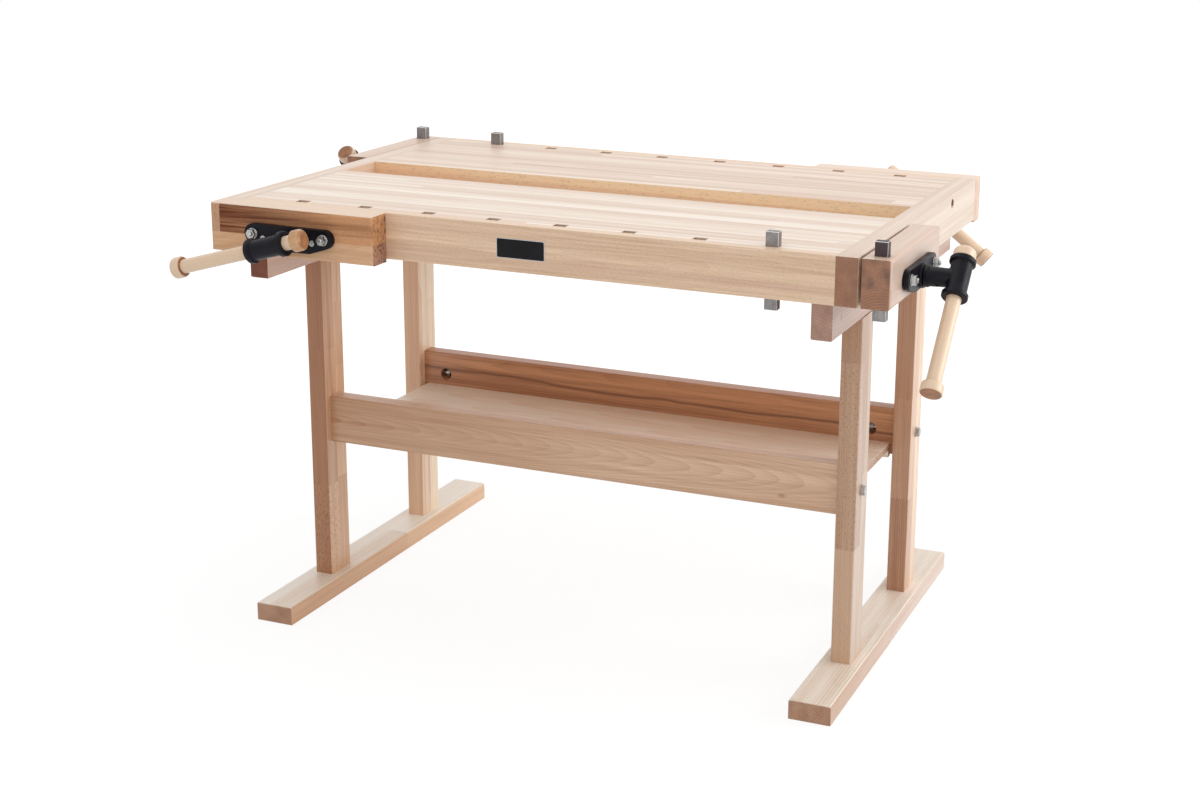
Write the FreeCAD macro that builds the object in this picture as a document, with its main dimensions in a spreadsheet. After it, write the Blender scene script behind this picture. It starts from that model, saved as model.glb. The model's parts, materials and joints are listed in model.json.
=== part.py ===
import FreeCAD, Part
import Sketcher
import math
import os
import re

# Double-sided joiner's bench: a thick top with a tool trough, dog slots along both edges,
# a vise on every side, and a bolted trestle base with a shelf.
# Millimetres. X runs along the bench, Y to its back, Z up. The origin is on the floor under its centre.
# The bench looks the same after half a turn about Z, so most pieces are made twice, once for each side.

SIZES = {
    # Top
    "top_length": 1310,
    "top_width": 880,
    "top_height": 900,
    "top_thick": 90,
    "cap_thick": 42,
    "panel_thick": 38,
    "tongue_thick": 14,
    "tongue_long": 15,
    "trough_width": 130,
    "trough_depth": 65,
    "trough_wall": 25,
    "floor_thick": 9,
    "floor_groove": 8,
    "face_thick": 25.5,
    "strip_wide": 44.5,
    "strip_screw_in": 20,
    "slot_long": 26,
    "slot_wide": 19,
    "slot_pitch": 140,
    "slot_from_cap": 128,
    "slot_count": 8,
    "fit_gap": 0.3,
    "edge_round": 2,
    # Trestle base
    "foot_long": 860,
    "foot_wide": 84,
    "foot_high": 40,
    "foot_round": 5,
    "leg_thick": 40,
    "leg_wide": 76,
    "leg_centre": 200,
    "leg_round": 3,
    "frame_clear": 5,
    "bearer_high": 70,
    "bearer_inset": 10,
    "bearer_round": 4,
    "tenon_thick": 18,
    "tenon_wide": 50,
    "tenon_long": 22,
    "rail_thick": 34,
    "rail_high": 102,
    "rail_low": 339,
    "rail_setback": 19,
    "shelf_top": 365,
    "shelf_thick": 15,
    "shelf_clear": 10,
    "cleat_size": 15,
    # Bolts of the base and screws of the top
    "bolt_radius": 5,
    "bolt_play": 0.5,
    "bolt_past_nut": 2,
    "bolt_head": 17,
    "head_high": 6.4,
    "washer_radius": 11,
    "washer_thick": 2,
    "access_radius": 13.5,
    "access_depth": 26,
    "access_reach": 56,
    "lag_radius": 4,
    "lag_bite": 42,
    "lag_head": 13,
    "lag_head_high": 5.5,
    "counterbore_radius": 10,
    "counterbore_deep": 15,
    "cap_screw_out": 235,
    "bearer_counterbore": 32,
    # Vises
    "screw_drop": 59,
    "front_jaw_long": 366,
    "front_jaw_high": 96,
    "front_jaw_thick": 50,
    "front_screw_in": 185,
    "end_jaw_long": 338,
    "end_jaw_high": 90,
    "end_jaw_thick": 54,
    "end_screw_in": 169,
    "jaw_round": 7,
    "right_opening": 6,
    "left_opening": 3,
    "shut_gap": 0.3,
    "vise_reach": 190,
    "spindle_radius": 10,
    "spindle_play": 0.05,
    "collar_radius": 15,
    "collar_thick": 6,
    "collar_play": 1,
    "collar_gap": 0.1,
    "recess_play": 1,
    "guide_radius": 8,
    "guide_spread": 55,
    "guide_play": 0.05,
    "wood_play": 1.5,
    "edge_play": 0.5,
    "flange_thick": 12,
    "flange_end": 19,
    "flange_foot": 48,
    "flange_drop": 22,
    "boss_radius": 23,
    "boss_high": 4,
    "mount_spread": 79,
    "mount_rise": 8,
    "stud_tip": 4,
    "nut_high": 8,
    "rod_screw_radius": 3,
    "rod_screw_head": 6,
    "rod_screw_bite": 14,
    "drill_past": 1,
    "hub_reach": 79,
    "stem_radius": 18.5,
    "stem_collar_radius": 20.5,
    "stem_collar_long": 8,
    "stem_gap": 0.3,
    "tube_radius": 20,
    "tube_long": 84,
    "cast_edge": 1.5,
    "cast_round": 4,
    "ring_bevel": 2,
    "spindle_chamfer": 2,
    "ring_radius": 24.5,
    "ring_long": 11,
    "pin_radius": 3,
    "pin_from_tube": 36,
    "bar_radius": 14,
    "bar_play": 0.35,
    "knob_span": 284,
    "knob_radius": 21,
    "knob_long": 22,
    "knob_shoulder": 6,
    "knob_end_round": 4,
    "knob_lip": 2.5,
    "knob_dome": 9,
    "peg_radius": 10,
    "peg_long": 15,
    "nut_plate_long": 180,
    "nut_plate_high": 38,
    "nut_plate_thick": 8,
    "nut_boss_radius": 17,
    "nut_boss_high": 28,
    "bush_radius": 13,
    "bush_high": 16,
    # How far each handle is turned and how far its bar hangs through the hub
    "end_tilt": -45,
    "front_tilt": -74,
    "rear_tilt": -52.5,
    "front_slide": 69,
    # Dogs
    "dog_long": 24.4,
    "dog_wide": 18,
    "dog_high": 144,
    "dog_proud": 27,
    "dog_edge": 1,
    "leaf_wide": 11,
    "leaf_thick": 0.8,
    "leaf_long": 70,
    "leaf_flat": 14,
    "leaf_from_top": 38,
}
MATHS = ("sin", "cos", "deg", "min")
PLAIN_CURVES = ("Part::GeomLine", "Part::GeomCircle")
TINY = 1e-6

os.makedirs("parts", exist_ok=True)
doc = FreeCAD.newDocument("bench")
sheet = doc.addObject("Spreadsheet::Sheet", "dims")
for row, (name, size) in enumerate(SIZES.items(), start=1):
    sheet.set(f"A{row}", name)
    sheet.set(f"B{row}", str(size))
    sheet.setAlias(f"B{row}", name)
doc.recompute()

pieces = []


def bound(formula):
    # A formula in sheet names, written as FreeCAD wants it
    def full(match):
        word = match.group(0)
        return word if word in MATHS else "dims." + word
    return re.sub(r"[a-z][a-z_]+", full, str(formula))


def value(formula):
    return float(sheet.evalExpression(bound(formula)))


def vector(x, y, z):
    return FreeCAD.Vector(value(x), value(y), value(z))


def plane_sketch(body, plane, lift="0"):
    # A sketch on one of the body's own planes, lifted along its normal
    sketch = body.newObject("Sketcher::SketchObject", "sketch")
    support = next(item for item in body.Origin.OriginFeatures if item.Role == plane)
    sketch.AttachmentSupport = [(support, "")]
    sketch.MapMode = "FlatFace"
    sketch.setExpression("AttachmentOffset.Base.z", bound(lift))
    return sketch


def pin_point(sketch, edge, point, x, y):
    for kind, formula in (("DistanceX", x), ("DistanceY", y)):
        index = sketch.addConstraint(Sketcher.Constraint(kind, -1, 1, edge, point, value(formula)))
        sketch.setExpression(f"Constraints[{index}]", bound(formula))


def pin_radius(sketch, edge, radius):
    index = sketch.addConstraint(Sketcher.Constraint("Radius", edge, value(radius)))
    sketch.setExpression(f"Constraints[{index}]", bound(radius))


def draw_polygon(sketch, corners):
    points = [vector(x, y, "0") for x, y in corners]
    first = sketch.GeometryCount
    count = len(points)
    for k in range(count):
        sketch.addGeometry(Part.LineSegment(points[k], points[(k + 1) % count]))
    for k in range(count):
        sketch.addConstraint(Sketcher.Constraint("Coincident", first + k, 2, first + (k + 1) % count, 1))
    for k, (x, y) in enumerate(corners):
        pin_point(sketch, first + k, 1, x, y)


def draw_rectangle(sketch, left, low, right, high):
    draw_polygon(sketch, [(left, low), (right, low), (right, high), (left, high)])


def draw_circle(sketch, x, y, radius):
    edge = sketch.addGeometry(Part.Circle(vector(x, y, "0"), FreeCAD.Vector(0, 0, 1), value(radius)))
    pin_point(sketch, edge, 3, x, y)
    pin_radius(sketch, edge, radius)


def new_body(label):
    body = doc.addObject("PartDesign::Body", label)
    body.Label = label
    return body


def pad(body, sketch, length):
    feature = body.newObject("PartDesign::Pad", "pad")
    feature.Profile = sketch
    feature.setExpression("Length", bound(length))
    return feature


def pocket(body, sketch, length, backwards=False):
    # A pocket cuts against the sketch's normal, or along it when it runs backwards
    feature = body.newObject("PartDesign::Pocket", "pocket")
    feature.Profile = sketch
    feature.Reversed = backwards
    feature.setExpression("Length", bound(length))
    return feature


def revolve(body, sketch, axis):
    feature = body.newObject("PartDesign::Revolution", "turning")
    feature.Profile = sketch
    feature.ReferenceAxis = (sketch, [axis])
    feature.Angle = 360
    return feature


def round_edges(body, radius, chosen):
    # Rounds the edges of the body's last feature that the test picks
    doc.recompute()
    base = body.Tip
    names = [f"Edge{k + 1}" for k, edge in enumerate(base.Shape.Edges) if chosen(edge)]
    feature = body.newObject("PartDesign::Fillet", "rounding")
    feature.Base = (base, names)
    feature.setExpression("Radius", bound(radius))
    return feature


def runs_along(edge, axis):
    # True for a straight edge along the axis, 0 for X, 1 for Y and 2 for Z
    if edge.Curve.TypeId != "Part::GeomLine":
        return False
    return abs(abs(edge.tangentAt(edge.FirstParameter)[axis]) - 1) < TINY


def board(label, x, y, z, placement=None):
    # A plain board between two formulas on each axis
    body = new_body(label)
    sketch = plane_sketch(body, "XY_Plane", z[0])
    draw_rectangle(sketch, x[0], y[0], x[1], y[1])
    pad(body, sketch, f"({z[1]}) - ({z[0]})")
    if placement:
        body.Placement = placement
    return body


def bore(body, plane, lift, centres, radius, length, backwards=False):
    # Round holes from a lifted plane into the body
    sketch = plane_sketch(body, plane, lift)
    for x, y in centres:
        draw_circle(sketch, x, y, radius)
    return pocket(body, sketch, length, backwards)


def rod(label, radius, length, at, along):
    # A cylinder from a point, along a direction
    item = doc.addObject("Part::Cylinder", label)
    item.setExpression("Radius", bound(radius))
    item.setExpression("Height", bound(length))
    turn = FreeCAD.Rotation(FreeCAD.Vector(0, 0, 1), FreeCAD.Vector(*along))
    item.Placement = FreeCAD.Placement(vector(*at), turn)
    return item


def hexagon(label, across, length, at, along):
    # A six-sided prism across its flats, from a point, along a direction
    item = doc.addObject("Part::Prism", label)
    item.Polygon = 6
    item.setExpression("Circumradius", bound(f"({across}) / (2 * cos(30deg))"))
    item.setExpression("Height", bound(length))
    turn = FreeCAD.Rotation(FreeCAD.Vector(0, 0, 1), FreeCAD.Vector(*along))
    item.Placement = FreeCAD.Placement(vector(*at), turn)
    return item


def cut(label, base, tools):
    result = base
    for tool in tools:
        step = doc.addObject("Part::Cut", label)
        step.Base = result
        step.Tool = tool
        result = step
    return result


def fuse(label, items):
    item = doc.addObject("Part::MultiFuse", label)
    item.Shapes = items
    return item


def group(label, items, placement=None):
    # Identical small pieces as one node of separate solids
    item = doc.addObject("Part::Compound", label)
    item.Label = label
    item.Links = items
    if placement:
        item.Placement = placement
    return item


def keep(item):
    pieces.append(item)
    return item


def half_turn(side):
    # The front or right copy stays, the other is turned about Z
    angle = 0 if side > 0 else 180
    return FreeCAD.Placement(FreeCAD.Vector(), FreeCAD.Rotation(FreeCAD.Vector(0, 0, 1), angle))


# Heights and places that several pieces share
UNDERSIDE = "(top_height - top_thick)"
PANEL_LOW = "(top_height - panel_thick)"
TONGUE_MID = "(top_height - panel_thick / 2)"
CAP_IN = "(top_length / 2 - cap_thick)"
EDGE = "(top_width / 2)"
SLOT_OUT = "(top_width / 2 - face_thick)"
STRIP_IN = "(top_width / 2 - face_thick - strip_wide)"
TROUGH_EDGE = "(trough_width / 2)"
FLOOR_TOP = "(top_height - trough_depth)"
SCREW_HIGH = "(top_height - screw_drop)"
FACE_SCREW_X = "(top_length / 2 - front_screw_in)"
END_SCREW_Y = "(top_width / 2 - end_screw_in)"
LEG_OUT = "(leg_centre + leg_wide / 2)"
FRAME_OUT = f"({CAP_IN} - frame_clear)"
FRAME_IN = f"({FRAME_OUT} - leg_thick)"
FRAME_MID = f"({FRAME_OUT} - leg_thick / 2)"
BEARER_END = "(top_width / 2 - bearer_inset)"
SLOT_FIRST = f"({CAP_IN} - slot_from_cap)"
BEARER_LOW = f"({UNDERSIDE} - bearer_high)"
RAIL_OUT = f"({LEG_OUT} - rail_setback)"
RAIL_IN = f"({RAIL_OUT} - rail_thick)"
RAIL_MID = f"({RAIL_OUT} - rail_thick / 2)"
BOLT_HIGH = "(rail_low + rail_high / 2)"
GUIDES = ("-guide_spread", "guide_spread")
SIDES = ((1, "front"), (-1, "rear"))
ENDS = ((1, "right"), (-1, "left"))


# Top ---------------------------------------------------------------------------------------------

def end_cap(side, name):
    # Modelled as the right cap: groove for both panels' tongues, screw bores and the vise's three holes
    cap = board(f"end_cap_{name}", (CAP_IN, "top_length / 2"), (f"-{EDGE}", EDGE), (UNDERSIDE, "top_height"))
    for low, high in ((f"-{STRIP_IN}", f"-{TROUGH_EDGE}"), (TROUGH_EDGE, STRIP_IN)):
        groove = plane_sketch(cap, "YZ_Plane", CAP_IN)
        draw_rectangle(groove, low, f"{TONGUE_MID} - tongue_thick / 2 - fit_gap",
                       high, f"{TONGUE_MID} + tongue_thick / 2 + fit_gap")
        pocket(cap, groove, "tongue_long + fit_gap", backwards=True)
    screws = [("cap_screw_out", TONGUE_MID), ("-cap_screw_out", TONGUE_MID)]
    bore(cap, "YZ_Plane", "top_length / 2", screws, "counterbore_radius", "counterbore_deep")
    bore(cap, "YZ_Plane", "top_length / 2", screws, "lag_radius + bolt_play", "cap_thick")
    bore(cap, "YZ_Plane", "top_length / 2", [(f"-{END_SCREW_Y}", SCREW_HIGH)],
         "spindle_radius + wood_play", "cap_thick")
    rods = [(f"-{END_SCREW_Y} + {at}", SCREW_HIGH) for at in GUIDES]
    bore(cap, "YZ_Plane", "top_length / 2", rods, "guide_radius + wood_play", "cap_thick")
    round_edges(cap, "edge_round", lambda edge: runs_along(edge, 2)
                and edge.BoundBox.XMin > value("top_length / 2") - TINY)
    cap.Placement = half_turn(side)
    return cap


def panel(side, name):
    # Thin working panel whose inner lamella goes down as the trough's wall, with a groove for its floor
    body = new_body(f"panel_{name}")
    wall_out = f"-({TROUGH_EDGE} + trough_wall)"
    groove_in = f"-({TROUGH_EDGE} + floor_groove)"
    section = plane_sketch(body, "YZ_Plane", f"-{CAP_IN}")
    draw_polygon(section, [
        (f"-{STRIP_IN}", "top_height"),
        (f"-{STRIP_IN}", PANEL_LOW),
        (wall_out, PANEL_LOW),
        (wall_out, UNDERSIDE),
        (f"-{TROUGH_EDGE}", UNDERSIDE),
        (f"-{TROUGH_EDGE}", f"{FLOOR_TOP} - floor_thick - fit_gap"),
        (groove_in, f"{FLOOR_TOP} - floor_thick - fit_gap"),
        (groove_in, FLOOR_TOP),
        (f"-{TROUGH_EDGE}", FLOOR_TOP),
        (f"-{TROUGH_EDGE}", "top_height"),
    ])
    pad(body, section, f"2 * {CAP_IN}")
    for lift, length in ((CAP_IN, "tongue_long"), (f"-{CAP_IN} - tongue_long", "tongue_long")):
        tongue = plane_sketch(body, "YZ_Plane", lift)
        draw_rectangle(tongue, f"-{STRIP_IN} + fit_gap", f"{TONGUE_MID} - tongue_thick / 2",
                       f"-{TROUGH_EDGE} - fit_gap", f"{TONGUE_MID} + tongue_thick / 2")
        pad(body, tongue, length)
    screw = [("-cap_screw_out", TONGUE_MID)]
    depth = "lag_bite + tongue_long - cap_thick + counterbore_deep"
    bore(body, "YZ_Plane", f"{CAP_IN} + tongue_long", screw, "lag_radius + bolt_play", depth)
    bore(body, "YZ_Plane", f"-{CAP_IN} - tongue_long", screw, "lag_radius + bolt_play", depth, backwards=True)
    body.Placement = half_turn(side)
    return body


def slot_places():
    # Slots count inwards from the end where the dog stands
    return [f"{SLOT_FIRST} - {k} * slot_pitch" for k in range(int(value("slot_count")))]


def vise_bores(body, lift, length):
    # Clearance holes for the face vise's screw and guides, from a plane that faces the front
    bore(body, "XZ_Plane", lift, [(f"-{FACE_SCREW_X}", SCREW_HIGH)], "spindle_radius + edge_play", length)
    rods = [(f"-{FACE_SCREW_X} + {at}", SCREW_HIGH) for at in GUIDES]
    bore(body, "XZ_Plane", lift, rods, "guide_radius + wood_play", length)


def dog_strip(side, name):
    strip = board(f"dog_strip_{name}", (f"-{CAP_IN}", CAP_IN), (f"-{SLOT_OUT}", f"-{STRIP_IN}"),
                  (UNDERSIDE, "top_height"))
    slots = plane_sketch(strip, "XY_Plane", "top_height")
    for middle in slot_places():
        draw_rectangle(slots, f"{middle} - slot_long / 2", f"-{SLOT_OUT}",
                       f"{middle} + slot_long / 2", f"-{SLOT_OUT} + slot_wide")
    pocket(strip, slots, "top_thick")
    vise_bores(strip, SLOT_OUT, "strip_wide")
    screws = [(f"{sign}{FRAME_MID}", f"-{STRIP_IN} - strip_screw_in") for sign in ("", "-")]
    bore(strip, "XY_Plane", UNDERSIDE, screws, "lag_radius + bolt_play",
         "lag_bite + fit_gap", backwards=True)
    strip.Placement = half_turn(side)
    return strip


def face_board(side, name):
    face = board(f"face_board_{name}", (f"-{CAP_IN}", CAP_IN), (f"-{EDGE}", f"-{SLOT_OUT}"),
                 (UNDERSIDE, "top_height"))
    vise_bores(face, EDGE, "face_thick")
    face.Placement = half_turn(side)
    return face


def trough_floor():
    reach = f"({TROUGH_EDGE} + floor_groove - fit_gap)"
    end = f"({CAP_IN} - fit_gap)"
    return board("trough_floor", (f"-{end}", end), (f"-{reach}", reach),
                 (f"{FLOOR_TOP} - floor_thick", FLOOR_TOP))


def lag_screw(at, along, label):
    # Shank and hexagon head with its washer face towards the wood
    shank = rod(label, "lag_radius", "lag_bite", at, along)
    back = [-step for step in along]
    head = hexagon(label, "lag_head", "lag_head_high", at, back)
    return fuse(label, [shank, head])


def lag_screws():
    screws = []
    for end, _ in ENDS:
        for side, _ in SIDES:
            mouth = (f"{end} * (top_length / 2 - counterbore_deep)", f"{-side} * cap_screw_out", TONGUE_MID)
            screws.append(lag_screw(mouth, (-end, 0, 0), "cap_screw"))
            foot = (f"{end} * {FRAME_MID}", f"{-side} * ({STRIP_IN} + strip_screw_in)",
                    f"{BEARER_LOW} + bearer_counterbore")
            screws.append(lag_screw(foot, (0, 0, 1), "bearer_screw"))
    return group("lag_screws", screws)


# Trestle base ------------------------------------------------------------------------------------

def mortises(body, lift, backwards):
    # Two blind mortises for the leg tenons, in a piece modelled on the right frame
    for middle in ("-leg_centre", "leg_centre"):
        hole = plane_sketch(body, "XY_Plane", lift)
        draw_rectangle(hole, f"{FRAME_MID} - tenon_thick / 2 - fit_gap",
                       f"{middle} - tenon_wide / 2 - fit_gap",
                       f"{FRAME_MID} + tenon_thick / 2 + fit_gap",
                       f"{middle} + tenon_wide / 2 + fit_gap")
        pocket(body, hole, "tenon_long + fit_gap", backwards)


def foot(side, name):
    body = board(f"foot_{name}", (f"{FRAME_MID} - foot_wide / 2", f"{FRAME_MID} + foot_wide / 2"),
                 ("-foot_long / 2", "foot_long / 2"), ("0", "foot_high"))
    mortises(body, "foot_high", backwards=False)
    top = value("foot_high")
    round_edges(body, "foot_round", lambda edge: (edge.BoundBox.ZMin > top - TINY
                and (abs(edge.BoundBox.XLength - value("foot_wide")) < TINY
                     or abs(edge.BoundBox.YLength - value("foot_long")) < TINY)))
    body.Placement = half_turn(side)
    return body


def bearer(side, name):
    body = board(f"bearer_{name}", (FRAME_IN, FRAME_OUT), (f"-{BEARER_END}", BEARER_END),
                 (BEARER_LOW, UNDERSIDE))
    mortises(body, BEARER_LOW, backwards=True)
    screws = [(FRAME_MID, f"{sign}({STRIP_IN} + strip_screw_in)") for sign in ("", "-")]
    bore(body, "XY_Plane", BEARER_LOW, screws, "counterbore_radius", "bearer_counterbore", backwards=True)
    bore(body, "XY_Plane", BEARER_LOW, screws, "lag_radius + bolt_play", "bearer_high", backwards=True)
    low = value(BEARER_LOW)
    outline = (value("leg_thick"), value(f"2 * {BEARER_END}"))
    round_edges(body, "bearer_round", lambda edge: edge.BoundBox.ZMax < low + TINY
                and min(abs(edge.Length - length) for length in outline) < TINY)
    body.Placement = half_turn(side)
    return body


def leg(side, end, name):
    # Stub tenon at each end and the rail bolt's hole, which lies a little outside the leg's middle
    body = board(f"leg_{name}", ("-leg_thick / 2", "leg_thick / 2"), ("-leg_wide / 2", "leg_wide / 2"),
                 ("foot_high", BEARER_LOW))
    for lift in ("foot_high - tenon_long", BEARER_LOW):
        tenon = plane_sketch(body, "XY_Plane", lift)
        draw_rectangle(tenon, "-tenon_thick / 2", "-tenon_wide / 2", "tenon_thick / 2", "tenon_wide / 2")
        pad(body, tenon, "tenon_long")
    bore(body, "YZ_Plane", "leg_thick / 2", [(f"leg_centre - {RAIL_MID}", BOLT_HIGH)],
         "bolt_radius + bolt_play", "leg_thick")
    long_edge = value(f"{BEARER_LOW} - foot_high")
    round_edges(body, "leg_round", lambda edge: runs_along(edge, 2) and abs(edge.Length - long_edge) < TINY)
    spot = vector(f"{end} * {FRAME_MID}", f"{-side} * leg_centre", "0")
    body.Placement = FreeCAD.Placement(spot, half_turn(side).Rotation)
    return body


def rail(side, name):
    body = board(f"rail_{name}", (f"-{FRAME_IN}", FRAME_IN), (f"-{RAIL_OUT}", f"-{RAIL_IN}"),
                 ("rail_low", "rail_low + rail_high"))
    bolt_line = [(f"-{RAIL_MID}", BOLT_HIGH)]
    bore(body, "YZ_Plane", FRAME_IN, bolt_line, "bolt_radius + bolt_play", "access_reach + access_radius")
    bore(body, "YZ_Plane", f"-{FRAME_IN}", bolt_line, "bolt_radius + bolt_play",
         "access_reach + access_radius", backwards=True)
    holes = [(f"{sign}({FRAME_IN} - access_reach)", BOLT_HIGH) for sign in ("", "-")]
    bore(body, "XZ_Plane", RAIL_IN, holes, "access_radius", "access_depth", backwards=True)
    long_edge = value(f"2 * {FRAME_IN}")
    round_edges(body, "edge_round", lambda edge: runs_along(edge, 0) and abs(edge.Length - long_edge) < TINY)
    body.Placement = half_turn(side)
    return body


def shelf_board():
    end = f"({FRAME_IN} - shelf_clear)"
    reach = f"({RAIL_IN} - fit_gap)"
    return board("shelf_board", (f"-{end}", end), (f"-{reach}", reach),
                 ("shelf_top - shelf_thick", "shelf_top"))


def shelf_cleats():
    end = f"({FRAME_IN} - shelf_clear)"
    strips = []
    for side, name in SIDES:
        strip = board(f"cleat_{name}", (f"-{end}", end), (f"-{RAIL_IN}", f"-{RAIL_IN} + cleat_size"),
                      ("shelf_top - shelf_thick - cleat_size", "shelf_top - shelf_thick"), half_turn(side))
        strips.append(strip)
    return group("shelf_cleats", strips)


def nut(label, across, high, hole, at, along):
    body = hexagon(label, across, high, at, along)
    return cut(label, body, [rod(label, hole, high, at, along)])


def washer(label, outer, thick, hole, at, along):
    body = rod(label, outer, thick, at, along)
    return cut(label, body, [rod(label, hole, thick, at, along)])


def rail_bolts():
    # Each bolt goes in through the leg and ends in a nut inside the rail's access hole
    parts = []
    for end, _ in ENDS:
        for side, _ in SIDES:
            y = f"{-side} * {RAIL_MID}"
            inward = (-end, 0, 0)
            outward = (end, 0, 0)
            face = (f"{end} * {FRAME_OUT}", y, BOLT_HIGH)
            seat = (f"{end} * ({FRAME_OUT} + washer_thick)", y, BOLT_HIGH)
            length = "washer_thick + leg_thick + access_reach + nut_high / 2 + bolt_past_nut"
            shank = rod("rail_bolt", "bolt_radius", length, seat, inward)
            head = hexagon("rail_bolt", "bolt_head", "head_high", seat, outward)
            parts.append(fuse("rail_bolt", [shank, head]))
            parts.append(washer("rail_washer", "washer_radius", "washer_thick", "bolt_radius + spindle_play",
                                face, outward))
            nut_face = (f"{end} * ({FRAME_IN} - access_reach + nut_high / 2)", y, BOLT_HIGH)
            parts.append(nut("rail_nut", "bolt_head", "nut_high", "bolt_radius + spindle_play",
                             nut_face, inward))
    return group("rail_bolts", parts)


# Vises -------------------------------------------------------------------------------------------
# A vise has its own frame: X out of the bench along the screw, Y along the jaw, Z up, with the origin
# where the screw meets the jaw's inner face. Its fixed and moving pieces are built there and placed.

class Vise:
    def __init__(self, name, corner, turn, opening, kind, tilt, slide, edge_thick):
        self.name = name
        self.opening = opening
        self.kind = kind
        self.jaw_thick = f"{kind}_jaw_thick"
        self.tilt = tilt
        self.slide = slide
        self.edge_thick = edge_thick
        self.face = FreeCAD.Placement(vector(*corner), FreeCAD.Rotation(FreeCAD.Vector(0, 0, 1), turn))

    def jaw_frame(self):
        return self.face.multiply(FreeCAD.Placement(vector(self.opening, "0", "0"), FreeCAD.Rotation()))

    def screw_frame(self):
        turned = FreeCAD.Rotation(FreeCAD.Vector(1, 0, 0), value(self.tilt))
        return self.jaw_frame().multiply(FreeCAD.Placement(FreeCAD.Vector(), turned))

    def hub_frame(self):
        centre = vector(f"{self.jaw_thick} + hub_reach", "0", "0")
        return self.screw_frame().multiply(FreeCAD.Placement(centre, FreeCAD.Rotation()))

    def bar_frame(self):
        drop = FreeCAD.Placement(vector("0", "0", f"-({self.slide})"), FreeCAD.Rotation())
        return self.hub_frame().multiply(drop)


KNOB_NEAR = "(knob_span / 2 - knob_long / 2)"
KNOB_FAR = "(knob_span / 2 + knob_long / 2)"
BAR_STOP = f"({KNOB_NEAR} - tube_long / 2 - fit_gap)"
VISES = [
    Vise("right", ("top_length / 2", f"-{END_SCREW_Y}", SCREW_HIGH), 0, "right_opening", "end",
         "end_tilt", BAR_STOP, "cap_thick"),
    Vise("left", ("-top_length / 2", END_SCREW_Y, SCREW_HIGH), 180, "left_opening", "end",
         "end_tilt", BAR_STOP, "cap_thick"),
    Vise("front", (f"-{FACE_SCREW_X}", f"-{EDGE}", SCREW_HIGH), -90, "shut_gap", "front",
         "front_tilt", "front_slide", "face_thick + strip_wide"),
    Vise("rear", (FACE_SCREW_X, EDGE, SCREW_HIGH), 90, "shut_gap", "front",
         "rear_tilt", BAR_STOP, "face_thick + strip_wide"),
]
MOUNTS = [(f"{sign}mount_spread", "mount_rise") for sign in ("-", "")]
RODS = [(at, "0") for at in GUIDES]
JAW_DOG_Y = f"-(top_width / 2 - face_thick - slot_wide / 2 - {END_SCREW_Y})"


def vise_jaw(vise):
    thick, high = vise.jaw_thick, f"{vise.kind}_jaw_high"
    outer, inner = f"-{vise.kind}_screw_in", f"{vise.kind}_jaw_long - {vise.kind}_screw_in"
    jaw = board(f"{vise.name}_vise_jaw", ("0", thick), (outer, inner), (f"screw_drop - {high}", "screw_drop"))
    bore(jaw, "YZ_Plane", thick, [("0", "0")], "spindle_radius + wood_play", thick)
    bore(jaw, "YZ_Plane", thick, [("0", "0")], "collar_radius + collar_play", "collar_thick + fit_gap")
    bore(jaw, "YZ_Plane", thick, RODS, "guide_radius + guide_play", thick)
    bore(jaw, "YZ_Plane", thick, MOUNTS, "bolt_radius + bolt_play", thick)
    bore(jaw, "YZ_Plane", "0", MOUNTS, "bolt_head / 2 + recess_play", "head_high + fit_gap", backwards=True)
    if vise.kind == "end":
        slot = plane_sketch(jaw, "XY_Plane", "screw_drop")
        draw_rectangle(slot, f"({thick} - slot_long) / 2", f"{JAW_DOG_Y} - slot_wide / 2",
                       f"({thick} + slot_long) / 2", f"{JAW_DOG_Y} + slot_wide / 2")
        pocket(jaw, slot, high)
    front = value(thick)
    round_edges(jaw, "jaw_round", lambda edge: edge.BoundBox.XMin > front - TINY
                and (runs_along(edge, 1) or runs_along(edge, 2)))
    jaw.Placement = vise.jaw_frame()
    return jaw


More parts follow.
